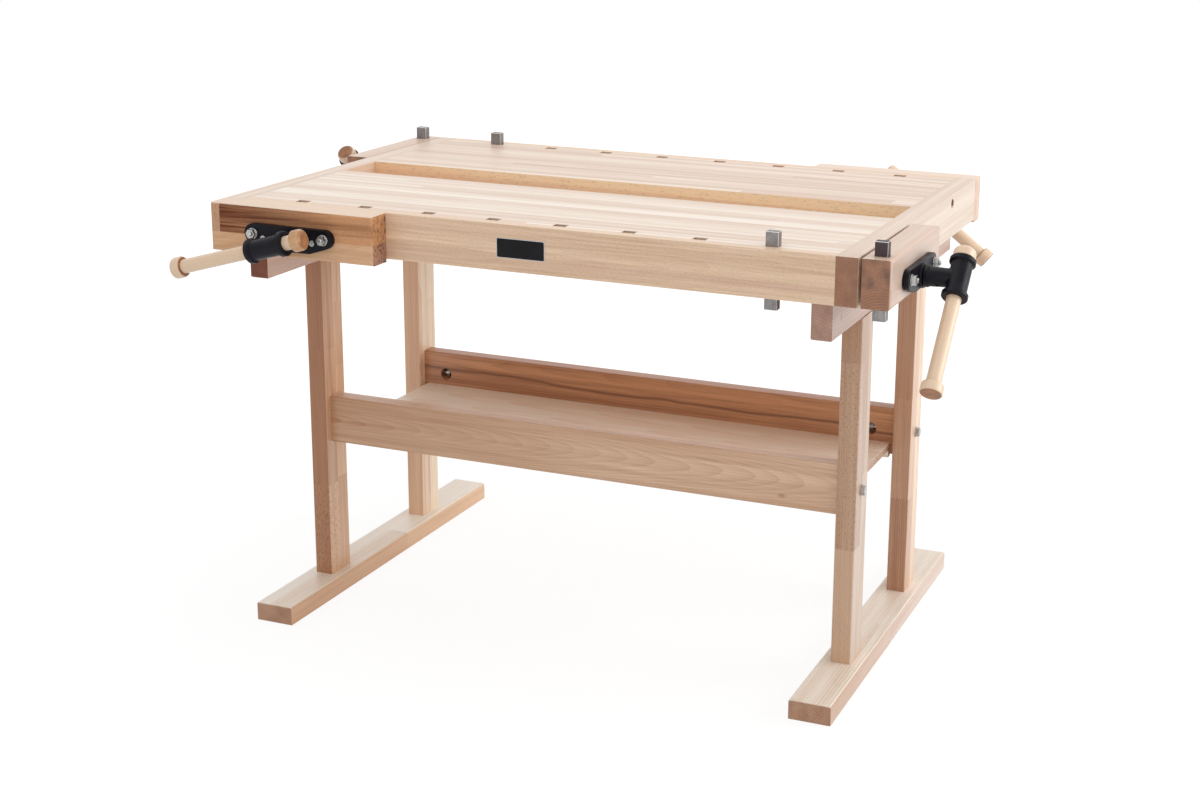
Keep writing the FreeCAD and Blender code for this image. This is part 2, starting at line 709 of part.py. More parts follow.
def vise_flange(vise):
    # Cast plate: straight top, round bolt ends and a lower edge that drops under the screw
    flange = new_body(f"{vise.name}_vise_flange")
    sketch = plane_sketch(flange, "YZ_Plane", vise.jaw_thick)
    spread, rise, end = value("mount_spread"), value("mount_rise"), value("flange_end")
    foot, drop = value("flange_foot"), value("flange_drop")
    up = FreeCAD.Vector(0, 0, 1)
    # The arcs start near where the lower edges touch them, and the tangent constraints do the rest
    touch, far_touch = -math.pi / 3, math.pi + math.pi / 3
    near_ring = Part.Circle(FreeCAD.Vector(spread, rise, 0), up, end)
    far_ring = Part.Circle(FreeCAD.Vector(-spread, rise, 0), up, end)
    top, near_arc, near_edge, low_edge, far_edge, far_arc = sketch.addGeometry([
        Part.LineSegment(FreeCAD.Vector(-spread, rise + end, 0), FreeCAD.Vector(spread, rise + end, 0)),
        Part.ArcOfCircle(near_ring, touch, math.pi / 2),
        Part.LineSegment(near_ring.value(touch), FreeCAD.Vector(foot, -drop, 0)),
        Part.LineSegment(FreeCAD.Vector(foot, -drop, 0), FreeCAD.Vector(-foot, -drop, 0)),
        Part.LineSegment(FreeCAD.Vector(-foot, -drop, 0), far_ring.value(far_touch)),
        Part.ArcOfCircle(far_ring, math.pi / 2, far_touch),
    ])
    for first, end_of_first, second, end_of_second in (
            (top, 2, near_arc, 2), (near_arc, 1, near_edge, 1),
            (far_edge, 2, far_arc, 2), (far_arc, 1, top, 1)):
        sketch.addConstraint(Sketcher.Constraint("Tangent", first, end_of_first, second, end_of_second))
    for arc, centre in ((near_arc, "mount_spread"), (far_arc, "-mount_spread")):
        pin_point(sketch, arc, 3, centre, "mount_rise")
        pin_radius(sketch, arc, "flange_end")
    sketch.addConstraint(Sketcher.Constraint("Coincident", near_edge, 2, low_edge, 1))
    sketch.addConstraint(Sketcher.Constraint("Coincident", low_edge, 2, far_edge, 1))
    pin_point(sketch, low_edge, 1, "flange_foot", "-flange_drop")
    pin_point(sketch, low_edge, 2, "-flange_foot", "-flange_drop")
    pad(flange, sketch, "flange_thick")
    boss = plane_sketch(flange, "YZ_Plane", vise.jaw_thick)
    draw_circle(boss, "0", "0", "boss_radius")
    pad(flange, boss, "flange_thick + boss_high")
    rim = f"{vise.jaw_thick} + flange_thick + boss_high"
    bore(flange, "YZ_Plane", rim, [("0", "0")], "spindle_radius + spindle_play", "flange_thick + boss_high")
    face = f"{vise.jaw_thick} + flange_thick"
    bore(flange, "YZ_Plane", face, MOUNTS, "bolt_radius + bolt_play", "flange_thick")
    bore(flange, "YZ_Plane", face, RODS, "rod_screw_radius + bolt_play", "flange_thick")
    flange.Placement = vise.jaw_frame()
    return flange


def vise_guide_rods(vise):
    # Two rods pressed into the jaw, with a tapped hole for the flange's screw
    rods = []
    for at, rise in RODS:
        outer = (vise.jaw_thick, at, rise)
        length = f"{vise.jaw_thick} + vise_reach"
        body = rod("guide_rod", "guide_radius", length, outer, (-1, 0, 0))
        tapped = rod("guide_rod", "rod_screw_radius + spindle_play",
                     "rod_screw_bite + drill_past", outer, (-1, 0, 0))
        rods.append(cut("guide_rod", body, [tapped]))
    return group(f"{vise.name}_vise_guide_rods", rods, vise.jaw_frame())


def vise_jaw_bolts(vise):
    parts = []
    face = f"{vise.jaw_thick} + flange_thick"
    out = (1, 0, 0)
    for at, rise in MOUNTS:
        seat = ("fit_gap", at, rise)
        length = f"{face} + washer_thick + nut_high + stud_tip - fit_gap"
        shank = rod("jaw_bolt", "bolt_radius", length, seat, out)
        head = rod("jaw_bolt", "bolt_head / 2", "head_high - fit_gap", seat, out)
        parts.append(fuse("jaw_bolt", [shank, head]))
        parts.append(washer("jaw_washer", "washer_radius", "washer_thick", "bolt_radius + spindle_play",
                            (face, at, rise), out))
        parts.append(nut("jaw_nut", "bolt_head", "nut_high", "bolt_radius + spindle_play",
                         (f"{face} + washer_thick", at, rise), out))
    for at, rise in RODS:
        shank = rod("rod_screw", "rod_screw_radius", "flange_thick + rod_screw_bite",
                    (face, at, rise), (-1, 0, 0))
        head = rod("rod_screw", "rod_screw_head", "rod_screw_radius", (face, at, rise), out)
        parts.append(fuse("rod_screw", [shank, head]))
    return group(f"{vise.name}_vise_jaw_bolts", parts, vise.jaw_frame())


def vise_spindle(vise):
    # Turned screw blank with its thrust collar behind the flange and its end inside the hub
    spindle = new_body(f"{vise.name}_vise_spindle")
    sketch = plane_sketch(spindle, "XZ_Plane")
    collar_out = f"{vise.jaw_thick} - collar_gap"
    collar_in = f"{vise.jaw_thick} - collar_thick"
    outer = f"{vise.jaw_thick} + hub_reach - tube_radius - fit_gap"
    draw_polygon(sketch, [
        ("-vise_reach", "0"),
        (outer, "0"),
        (outer, "spindle_radius"),
        (collar_out, "spindle_radius"),
        (collar_out, "collar_radius"),
        (collar_in, "collar_radius"),
        (collar_in, "spindle_radius"),
        ("-vise_reach + spindle_chamfer", "spindle_radius"),
        ("-vise_reach", "spindle_radius - spindle_chamfer"),
    ])
    revolve(spindle, sketch, "H_Axis")
    pin_at = f"{vise.jaw_thick} + hub_reach - pin_from_tube"
    bore(spindle, "XY_Plane", "spindle_radius", [(pin_at, "0")], "pin_radius + spindle_play",
         "2 * spindle_radius")
    spindle.Placement = vise.screw_frame()
    return spindle


def vise_hub(vise):
    # Cast tee: a stem over the screw's end and a ringed tube across it for the bar, with its roll pin
    hub = new_body(f"{vise.name}_hub_casting")
    stem_end = "-(hub_reach - flange_thick - boss_high - stem_gap)"
    stem = plane_sketch(hub, "XZ_Plane")
    draw_polygon(stem, [
        (stem_end, "0"),
        ("0", "0"),
        ("0", "stem_radius - cast_edge"),
        (f"{stem_end} + stem_collar_long + 2 * cast_edge", "stem_radius"),
        (f"{stem_end} + stem_collar_long", "stem_collar_radius"),
        (f"{stem_end} + cast_edge", "stem_collar_radius"),
        (stem_end, "stem_collar_radius - cast_edge"),
    ])
    revolve(hub, stem, "H_Axis")
    tube = plane_sketch(hub, "XZ_Plane")
    half, ring = "(tube_long / 2)", "(tube_long / 2 - ring_long)"
    draw_polygon(tube, [
        ("0", f"-{half}"),
        ("ring_radius - ring_bevel", f"-{half}"),
        ("ring_radius", f"-{half} + ring_bevel"),
        ("ring_radius", f"-{ring} - ring_bevel"),
        ("tube_radius", f"-{ring} + ring_bevel / 2"),
        ("tube_radius", f"{ring} - ring_bevel / 2"),
        ("ring_radius", f"{ring} + ring_bevel"),
        ("ring_radius", f"{half} - ring_bevel"),
        ("ring_radius - ring_bevel", half),
        ("0", half),
    ])
    revolve(hub, tube, "V_Axis")
    round_edges(hub, "cast_round", lambda edge: edge.Curve.TypeId not in PLAIN_CURVES)
    bore(hub, "XY_Plane", half, [("0", "0")], "bar_radius + bar_play", "tube_long")
    bore(hub, "YZ_Plane", stem_end, [("0", "0")], "spindle_radius + spindle_play",
         "hub_reach - flange_thick - boss_high - stem_gap - tube_radius", backwards=True)
    bore(hub, "XY_Plane", "stem_radius", [("-pin_from_tube", "0")], "pin_radius + spindle_play",
         "2 * stem_radius")
    pin = rod(f"{vise.name}_roll_pin", "pin_radius", "2 * (stem_radius - ring_bevel)",
              ("-pin_from_tube", "0", "-(stem_radius - ring_bevel)"), (0, 0, 1))
    return group(f"{vise.name}_vise_hub", [hub, pin], vise.hub_frame())


def round_rim(body, radius, level):
    # Rounds the knob's rim at a level along the bar
    high, wide = value(level), value("knob_radius")
    round_edges(body, radius, lambda edge: (edge.Curve.TypeId == "Part::GeomCircle"
                and abs(edge.Curve.Center.z - high) < TINY and abs(edge.Curve.Radius - wide) < TINY))


def vise_bar(vise):
    # Bar and lower knob are one turning, and a peg takes the loose knob at the top.
    # The knob's shoulder is rounded, as far as a narrow flat beside the bar allows
    bar = new_body(f"{vise.name}_vise_bar")
    sketch = plane_sketch(bar, "XZ_Plane")
    draw_polygon(sketch, [
        ("0", f"-{KNOB_FAR}"),
        ("knob_radius", f"-{KNOB_FAR}"),
        ("knob_radius", f"-{KNOB_NEAR}"),
        ("bar_radius", f"-{KNOB_NEAR}"),
        ("bar_radius", KNOB_NEAR),
        ("peg_radius", KNOB_NEAR),
        ("peg_radius", f"{KNOB_NEAR} + peg_long"),
        ("0", f"{KNOB_NEAR} + peg_long"),
    ])
    revolve(bar, sketch, "V_Axis")
    round_rim(bar, "min(knob_shoulder; knob_radius - bar_radius - edge_play)", f"-{KNOB_NEAR}")
    round_rim(bar, "knob_end_round", f"-{KNOB_FAR}")
    bar.Placement = vise.bar_frame()
    return bar


def vise_knob(vise):
    # Loose knob: a small lip towards the bar and a domed end
    knob = new_body(f"{vise.name}_vise_knob")
    sketch = plane_sketch(knob, "XZ_Plane")
    draw_polygon(sketch, [
        ("peg_radius + spindle_play", KNOB_NEAR),
        ("knob_radius", KNOB_NEAR),
        ("knob_radius", KNOB_FAR),
        ("0", KNOB_FAR),
        ("0", f"{KNOB_NEAR} + peg_long + fit_gap"),
        ("peg_radius + spindle_play", f"{KNOB_NEAR} + peg_long + fit_gap"),
    ])
    revolve(knob, sketch, "V_Axis")
    round_rim(knob, "knob_lip", KNOB_NEAR)
    round_rim(knob, "knob_dome", KNOB_FAR)
    knob.Placement = vise.bar_frame()
    return knob


def nut_plate(vise):
    # Cast plate behind the bench's edge: a threaded boss for the screw and a bush for each guide
    plate = new_body(f"{vise.name}_nut_plate")
    back = f"-({vise.edge_thick})"
    sketch = plane_sketch(plate, "YZ_Plane", f"{back} - nut_plate_thick")
    draw_rectangle(sketch, "-nut_plate_long / 2", "-nut_plate_high / 2", "nut_plate_long / 2",
                   "nut_plate_high / 2")
    pad(plate, sketch, "nut_plate_thick")
    for places, radius, high in (([("0", "0")], "nut_boss_radius", "nut_boss_high"),
                                 (RODS, "bush_radius", "bush_high")):
        for place in places:
            boss = plane_sketch(plate, "YZ_Plane", f"{back} - nut_plate_thick - {high}")
            draw_circle(boss, *place, radius)
            pad(plate, boss, f"nut_plate_thick + {high}")
    bore(plate, "YZ_Plane", back, [("0", "0")], "spindle_radius + spindle_play",
         "nut_plate_thick + nut_boss_high")
    bore(plate, "YZ_Plane", back, RODS, "guide_radius + guide_play", "nut_plate_thick + nut_boss_high")
    plate.Placement = vise.face
    return plate


# Dogs --------------------------------------------------------------------------------------------

def dog(name, x, y, top, turn):
    # Square steel bar with a bowed leaf spring let into the side that faces the bench's middle
    label = f"dog_{name}"
    bar = new_body(f"{label}_bar")
    sketch = plane_sketch(bar, "XY_Plane", "dog_proud - dog_high")
    wall = "(slot_long / 2 - fit_gap)"
    draw_rectangle(sketch, f"{wall} - dog_long", "-dog_wide / 2", wall, "dog_wide / 2")
    pad(bar, sketch, "dog_high")
    side = f"({wall} - dog_long)"
    low = "(dog_proud - leaf_from_top - leaf_long)"
    housing = plane_sketch(bar, "XZ_Plane", "leaf_wide / 2 + fit_gap")
    draw_rectangle(housing, side, f"{low} - fit_gap", f"{side} + leaf_thick + fit_gap",
                   f"{low} + leaf_long + fit_gap")
    pocket(bar, housing, "leaf_wide + 2 * fit_gap")
    round_edges(bar, "dog_edge", lambda edge: edge.BoundBox.ZMin > value("dog_proud") - TINY)
    leaf = new_body(f"{label}_leaf")
    strip = plane_sketch(leaf, "XZ_Plane", "-leaf_wide / 2")
    crest = f"({side} - (slot_long - dog_long - 2 * fit_gap))"
    flat_low = f"({low} + leaf_long / 2 - leaf_flat / 2)"
    flat_high = f"({low} + leaf_long / 2 + leaf_flat / 2)"
    draw_polygon(strip, [
        (f"{side} + leaf_thick", low),
        (side, low),
        (crest, flat_low),
        (crest, flat_high),
        (side, f"{low} + leaf_long"),
        (f"{side} + leaf_thick", f"{low} + leaf_long"),
        (f"{crest} + leaf_thick", flat_high),
        (f"{crest} + leaf_thick", flat_low),
    ])
    pad(leaf, strip, "leaf_wide")
    place = FreeCAD.Placement(vector(x, y, top), FreeCAD.Rotation(FreeCAD.Vector(0, 0, 1), turn))
    return group(label, [bar, leaf], place)


def dogs():
    line = "(top_width / 2 - face_thick - slot_wide / 2)"
    keep(dog("front", SLOT_FIRST, f"-{line}", "top_height", 0))
    keep(dog("rear", f"-{SLOT_FIRST}", line, "top_height", 180))
    right = "top_length / 2 + right_opening + end_jaw_thick / 2"
    left = "top_length / 2 + left_opening + end_jaw_thick / 2"
    keep(dog("right_jaw", right, f"-{line}", "top_height", 180))
    keep(dog("left_jaw", f"-({left})", line, "top_height", 0))


# Assembly ----------------------------------------------------------------------------------------

for side, name in SIDES:
    keep(panel(side, name))
    keep(dog_strip(side, name))
    keep(face_board(side, name))
    keep(rail(side, name))
for end, name in ENDS:
    keep(end_cap(end, name))
    keep(foot(end, name))
    keep(bearer(end, name))
for side, depth in SIDES:
    for end, across in ENDS:
        keep(leg(side, end, f"{depth}_{across}"))
keep(trough_floor())
keep(shelf_board())
keep(shelf_cleats())
keep(lag_screws())
keep(rail_bolts())
keep(group("vise_nut_plates", [nut_plate(vise) for vise in VISES]))
for vise in VISES:
    for make in (vise_jaw, vise_flange, vise_guide_rods, vise_jaw_bolts,
                 vise_spindle, vise_hub, vise_bar, vise_knob):
        keep(make(vise))
dogs()

doc.recompute()
for item in doc.Objects:
    failed = [word for word in item.State if word in ("Invalid", "Error")]
    if failed:
        raise RuntimeError(f"{item.Name} ({item.Label}) is {failed}")
for item in pieces:
    if item.Shape.isNull() or not item.Shape.isValid():
        raise RuntimeError(f"{item.Label} has no valid shape")
for item in pieces:
    item.Shape.exportStep(f"parts/{item.Label}.step")
print(len(pieces), "parts written")
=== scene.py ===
import bpy
import bmesh
import json
import math
from mathutils import Matrix, Vector


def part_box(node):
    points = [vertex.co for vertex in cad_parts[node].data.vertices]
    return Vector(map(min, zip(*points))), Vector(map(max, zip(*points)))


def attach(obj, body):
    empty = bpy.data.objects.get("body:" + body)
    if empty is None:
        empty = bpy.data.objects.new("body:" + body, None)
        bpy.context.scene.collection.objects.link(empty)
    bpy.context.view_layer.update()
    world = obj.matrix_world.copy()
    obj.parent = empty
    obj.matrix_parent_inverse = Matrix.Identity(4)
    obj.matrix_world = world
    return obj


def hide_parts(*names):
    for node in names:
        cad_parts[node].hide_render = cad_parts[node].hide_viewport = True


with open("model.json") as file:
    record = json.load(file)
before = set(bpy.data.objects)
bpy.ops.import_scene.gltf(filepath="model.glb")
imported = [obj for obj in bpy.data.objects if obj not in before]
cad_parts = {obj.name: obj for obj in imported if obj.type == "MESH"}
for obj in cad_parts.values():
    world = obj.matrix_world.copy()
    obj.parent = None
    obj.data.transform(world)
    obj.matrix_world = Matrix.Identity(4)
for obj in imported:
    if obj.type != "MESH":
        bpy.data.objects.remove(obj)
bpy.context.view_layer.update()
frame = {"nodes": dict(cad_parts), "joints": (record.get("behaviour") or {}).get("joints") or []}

nodes = frame["nodes"]
joints = {joint["name"]: joint for joint in frame["joints"]}
viseNames = ("right", "left", "front", "rear")
alongBench = Vector((1, 0, 0))
acrossBench = Vector((0, 1, 0))
upright = Vector((0, 0, 1))


def rgb(red, green, blue):
    # sRGB from 0 to 255, made the linear colour that a shader takes
    def linear(channel):
        level = channel / 255
        return level / 12.92 if level <= 0.04045 else ((level + 0.055) / 1.055) ** 2.4
    return (linear(red), linear(green), linear(blue), 1.0)


def addNode(tree, kind, inputs=None, **settings):
    node = tree.nodes.new(kind)
    for name, setting in settings.items():
        setattr(node, name, setting)
    for name, source in (inputs or {}).items():
        if isinstance(source, bpy.types.NodeSocket):
            tree.links.new(source, node.inputs[name])
        else:
            node.inputs[name].default_value = source
    return node


def calc(tree, operation, first, second=0.5, third=0.5, clamp=False):
    node = addNode(tree, "ShaderNodeMath", {0: first, 1: second, 2: third}, operation=operation)
    node.use_clamp = clamp
    return node.outputs[0]


def between(tree, share, low, high):
    return calc(tree, "MULTIPLY_ADD", share, calc(tree, "SUBTRACT", high, low), low)


def split(tree, vector):
    return addNode(tree, "ShaderNodeSeparateXYZ", {0: vector}).outputs


def joined(tree, x, y, z):
    return addNode(tree, "ShaderNodeCombineXYZ", {0: x, 1: y, 2: z}).outputs[0]


def vectorMath(tree, operation, first, second=(0, 0, 0), third=(0, 0, 0)):
    return addNode(tree, "ShaderNodeVectorMath", {0: first, 1: second, 2: third},
                   operation=operation).outputs


def stretched(tree, place, scale):
    return vectorMath(tree, "MULTIPLY", place, scale)["Vector"]


def rotated(tree, vector, turn):
    return addNode(tree, "ShaderNodeMapping", {"Vector": vector, "Rotation": turn}).outputs[0]


def lookingAlong(tree, normal, direction):
    return vectorMath(tree, "DOT_PRODUCT", normal, direction)["Value"]


def noiseAt(tree, place, scale=1.0, detail=2.0, roughness=0.5, distortion=0.0):
    return addNode(tree, "ShaderNodeTexNoise", {
        "Vector": place, "Scale": scale, "Detail": detail,
        "Roughness": roughness, "Distortion": distortion}).outputs[0]


def centred(tree, noise):
    # Noise counted from its middle
    return calc(tree, "SUBTRACT", noise, 0.5)


def remap(tree, source, low, high, toLow=0.0, toHigh=1.0):
    return addNode(tree, "ShaderNodeMapRange", {
        "Value": source, "From Min": low, "From Max": high, "To Min": toLow, "To Max": toHigh}).outputs[0]


def mixColour(tree, share, first, second, blend="MIX"):
    node = addNode(tree, "ShaderNodeMix", data_type="RGBA", blend_type=blend)
    for name, source in (("Factor_Float", share), ("A_Color", first), ("B_Color", second)):
        socket = next(item for item in node.inputs if item.identifier == name)
        if isinstance(source, bpy.types.NodeSocket):
            tree.links.new(source, socket)
        else:
            socket.default_value = source
    return next(item for item in node.outputs if item.identifier == "Result_Color")


def surfaceOf(tree):
    return next(node for node in tree.nodes if node.type == "BSDF_PRINCIPLED")


def newMaterial(name):
    material = bpy.data.materials.new(name)
    material.use_nodes = True
    tree = material.node_tree
    return material, tree, surfaceOf(tree)


def addBump(tree, surface, height, strength, depth):
    bump = addNode(tree, "ShaderNodeBump", {"Strength": strength, "Distance": depth, "Height": height})
    tree.links.new(bump.outputs[0], surface.inputs["Normal"])


# How often each pattern comes in a metre, along the grain and both ways across it
patterns = dict(bend=(1.8, 9, 9), fading=(1.4, 24, 24), fibre=(5, 260, 260), streak=(1.0, 44, 44),
                blush=(0.7, 60, 60), pores=(60, 800, 800), stain=(30, 42, 42), checks=(20, 60, 34))
# Levels of noise between which each pattern comes in. Checks count from the noise's middle.
noiseLevels = dict(usual=(0.3, 0.7), fading=(0.35, 0.65), blush=(0.46, 0.66), fleck=(0.56, 0.70),
                   checks=(0.010, 0.034))
# How squarely a face looks along a direction, as a cosine, where its look begins and is full
squareness = dict(ends=(0.62, 0.86), tint=(0.6, 0.8), picked=0.7)
# The level of late wood that leaves a board's tone as it is
ringMean = 0.28
reliefShares = dict(fleck=-0.8, fibre=0.6)
# Sets where the glued strips end
staggerSeed = 3.7
# Longer than any board, for strips that aren't cut
uncut = 9.0

# Beech as it comes off the rack, in metres. A board changes what is its own.
plainBeech = dict(
    grain=alongBench, pale=rgb(238, 206, 176), dark=rgb(206, 166, 134), blush=rgb(222, 182, 160),
    staves=None,  # width, thickness and length of strips with random tones
    rows=None,  # two rows of strips, whose lengths and tones are given
    scatter=(2.0, 0.10, 0.10), tone=0.45, staveTone=0.6, blushing=0.0, shading=None,
    ring=0.0036, ringTone=0.35, ringShape=2.4, pith=(0.02, -0.09), lean=(0.0, 0.0), warp=0.006, fading=0.6,
    streakTone=0.35, fibreTone=0.40, fleck=0.12, fleckSize=(150, 900), fleckTint=rgb(168, 140, 118),
    vein=None, endTint=rgb(206, 186, 176), endRings=0.35, endBlotch=0.16, endPores=(0.90, 1.06), checks=0.0)


def stepped(tree, along, starts, levels):
    # A level that changes at each start along the grain
    level = levels[0]
    for start, before, after in zip(starts, levels, levels[1:]):
        level = calc(tree, "MULTIPLY_ADD", calc(tree, "GREATER_THAN", along, start), after - before, level)
    return level


def gluedRows(tree, rows, u, v):
    # Each length is its start along the grain, its tone and its share of flecks
    high = calc(tree, "GREATER_THAN", v, rows["seam"])
    picked = []
    for column in range(3):
        sides = [stepped(tree, u, [length[0] for length in rows[side][1:]],
                         [length[column] for length in rows[side]]) for side in ("low", "high")]
        picked.append(between(tree, high, *sides))
    start, tone, fleck = picked
    return joined(tree, start, high, 0.0), tone, fleck


def gluedStaves(tree, use, u, v, w):
    # Strips side by side, cut into staggered lengths, with places counted from each strip's middle
    wide, thick, long = use["staves"]
    across = calc(tree, "FLOOR", calc(tree, "DIVIDE", v, wide))
    layer = calc(tree, "FLOOR", calc(tree, "DIVIDE", w, thick))
    strip = joined(tree, across, layer, staggerSeed)
    offset = addNode(tree, "ShaderNodeTexWhiteNoise", {"Vector": strip}).outputs["Value"]
    length = calc(tree, "FLOOR", calc(tree, "MULTIPLY_ADD", u, 1 / long, offset))
    side = calc(tree, "SUBTRACT", v, calc(tree, "MULTIPLY_ADD", across, wide, wide / 2))
    deep = calc(tree, "SUBTRACT", w, calc(tree, "MULTIPLY_ADD", layer, thick, thick / 2))
    return joined(tree, across, length, layer), side, deep


def growthRings(tree, use, own):
    # Dark late wood at the end of each ring, round a pith that may lean away along the grain
    u, v, w = split(tree, own)
    bend = noiseAt(tree, stretched(tree, own, patterns["bend"]), detail=3.0)
    bend = calc(tree, "MULTIPLY_ADD", bend, use["warp"] * 2, -use["warp"])
    side = calc(tree, "MULTIPLY_ADD", u, -use["lean"][0], calc(tree, "SUBTRACT", v, use["pith"][0]))
    deep = calc(tree, "MULTIPLY_ADD", u, -use["lean"][1], calc(tree, "SUBTRACT", w, use["pith"][1]))
    squares = calc(tree, "MULTIPLY_ADD", side, side, calc(tree, "MULTIPLY", deep, deep))
    radius = calc(tree, "ADD", calc(tree, "SQRT", squares), bend)
    grown = calc(tree, "FRACT", calc(tree, "DIVIDE", radius, use["ring"]))
    late = calc(tree, "POWER", grown, use["ringShape"])
    clear = noiseAt(tree, stretched(tree, own, patterns["fading"]))
    return late, remap(tree, clear, *noiseLevels["fading"], 1.0 - use["fading"], 1.0)


def endGrain(tree, use, own, late, colour):
    # Ends are darker, with the rings as arcs, open pores and sometimes drying checks
    arcs = calc(tree, "MULTIPLY_ADD", late, -use["endRings"], 1.0)
    pores = noiseAt(tree, stretched(tree, own, patterns["pores"]), detail=3.0)
    pores = remap(tree, pores, *noiseLevels["usual"], *use["endPores"])
    stain = noiseAt(tree, stretched(tree, own, patterns["stain"]), detail=3.0)
    blotch = remap(tree, stain, *noiseLevels["usual"], 1.0 - use["endBlotch"], 1.0 + use["endBlotch"] / 2)
    shade = calc(tree, "MULTIPLY", calc(tree, "MULTIPLY", arcs, pores), blotch)
    if use["checks"]:
        veins = noiseAt(tree, stretched(tree, own, patterns["checks"]), detail=1.0, distortion=1.6)
        near = calc(tree, "ABSOLUTE", centred(tree, veins))
        cracks = remap(tree, near, *noiseLevels["checks"], 1.0 - use["checks"], 1.0)
        shade = calc(tree, "MULTIPLY", shade, cracks)
    tinted = mixColour(tree, 1.0, colour, use["endTint"], "MULTIPLY")
    return mixColour(tree, 1.0, tinted, joined(tree, shade, shade, shade), "MULTIPLY")


def boardLook(tree, use, place, normal):
    # Colour and relief of one board, with the place turned so that its grain runs along the first axis
    turn = use["grain"].rotation_difference(alongBench).to_euler()
    along = rotated(tree, place, turn)
    u, v, w = split(tree, along)
    own, tone, share = along, use["tone"], use["fleck"]
    if use["staves"] or use["rows"]:
        if use["rows"]:
            seed, tone, share = gluedRows(tree, use["rows"], u, v)
            side, deep = v, w
        else:
            seed, side, deep = gluedStaves(tree, use, u, v, w)
        stave = addNode(tree, "ShaderNodeTexWhiteNoise", {"Vector": seed})
        counted = joined(tree, u, side, deep)
        own = vectorMath(tree, "MULTIPLY_ADD", stave.outputs["Color"], use["scatter"], counted)["Vector"]
        if use["staves"]:
            tone = calc(tree, "MULTIPLY_ADD", stave.outputs["Value"], use["staveTone"],
                        use["tone"] - use["staveTone"] / 2)

    late, clear = growthRings(tree, use, own)
    fibre = noiseAt(tree, stretched(tree, own, patterns["fibre"]), detail=4.0, roughness=0.62)
    streak = noiseAt(tree, stretched(tree, own, patterns["streak"]),
                     detail=3.0, roughness=0.55, distortion=0.4)
    lines = calc(tree, "MULTIPLY", calc(tree, "SUBTRACT", late, ringMean), clear)
    tone = calc(tree, "MULTIPLY_ADD", lines, use["ringTone"], tone)
    tone = calc(tree, "MULTIPLY_ADD", centred(tree, streak), use["streakTone"] * 2, tone)
    tone = calc(tree, "MULTIPLY_ADD", centred(tree, fibre), use["fibreTone"], tone)
    if use["shading"]:
        # The board darkens towards one end
        begin, end, extra = use["shading"]
        tone = calc(tree, "ADD", tone, remap(tree, u, begin, end, extra, 0.0))
    tone = calc(tree, "ADD", tone, 0.0, clamp=True)
    wood = mixColour(tree, tone, use["pale"], use["dark"])
    if use["blushing"]:
        rosy = noiseAt(tree, stretched(tree, own, patterns["blush"]))
        rosy = remap(tree, rosy, *noiseLevels["blush"], 0.0, use["blushing"])
        wood = mixColour(tree, rosy, wood, use["blush"])
    if use["vein"]:
        # One dark line of heartwood that sways along the board
        vein = use["vein"]
        sway = noiseAt(tree, stretched(tree, along, vein["waves"]), detail=3.0)
        line = calc(tree, "MULTIPLY_ADD", centred(tree, sway), vein["sway"] * 2, vein["level"])
        line = calc(tree, "MULTIPLY_ADD", u, vein["slope"], line)
        off = calc(tree, "ABSOLUTE", calc(tree, "SUBTRACT", w, line))
        strength = remap(tree, off, vein["wide"], 0.0, 0.0, vein["strength"])
        wood = mixColour(tree, strength, wood, vein["colour"])

    fleckLong, fleckWide = use["fleckSize"]
    specks = noiseAt(tree, stretched(tree, own, (fleckLong, fleckWide, fleckWide)), detail=1.0)
    speck = calc(tree, "MULTIPLY", remap(tree, specks, *noiseLevels["fleck"]), share)
    wood = mixColour(tree, speck, wood, mixColour(tree, 1.0, wood, use["fleckTint"], "MULTIPLY"))
    ending = calc(tree, "ABSOLUTE", lookingAlong(tree, normal, use["grain"]))
    ending = remap(tree, ending, *squareness["ends"])
    wood = mixColour(tree, ending, wood, endGrain(tree, use, own, late, wood))
    raised = calc(tree, "MULTIPLY", fibre, reliefShares["fibre"])
    return wood, calc(tree, "MULTIPLY_ADD", speck, reliefShares["fleck"], raised)


def insideOf(tree, limits, place, normal):
    # 1 within the limits along X, Y and Z, and on faces that look along a direction
    share = 1.0
    for axis, socket in zip("xyz", split(tree, place)):
        if axis in limits:
            low, high = limits[axis]
            near = calc(tree, "COMPARE", socket, (low + high) / 2, (high - low) / 2)
            share = calc(tree, "MULTIPLY", share, near)
    if "facing" in limits:
        facing = lookingAlong(tree, normal, limits["facing"])
        facing = calc(tree, "GREATER_THAN", facing, squareness["picked"])
        share = calc(tree, "MULTIPLY", share, facing)
    return share


# A knot's rings, as a share of its radius, and how faint they get
knotLook = dict(ring=0.3, faintest=0.5)
# The lacquered surface: roughness follows the relief, and the bump's depth is in metres
woodSurface = dict(relief=(0.2, 0.4), smoother=0.05, rougher=0.06, coatRough=0.34, bump=0.22, depth=0.0004)


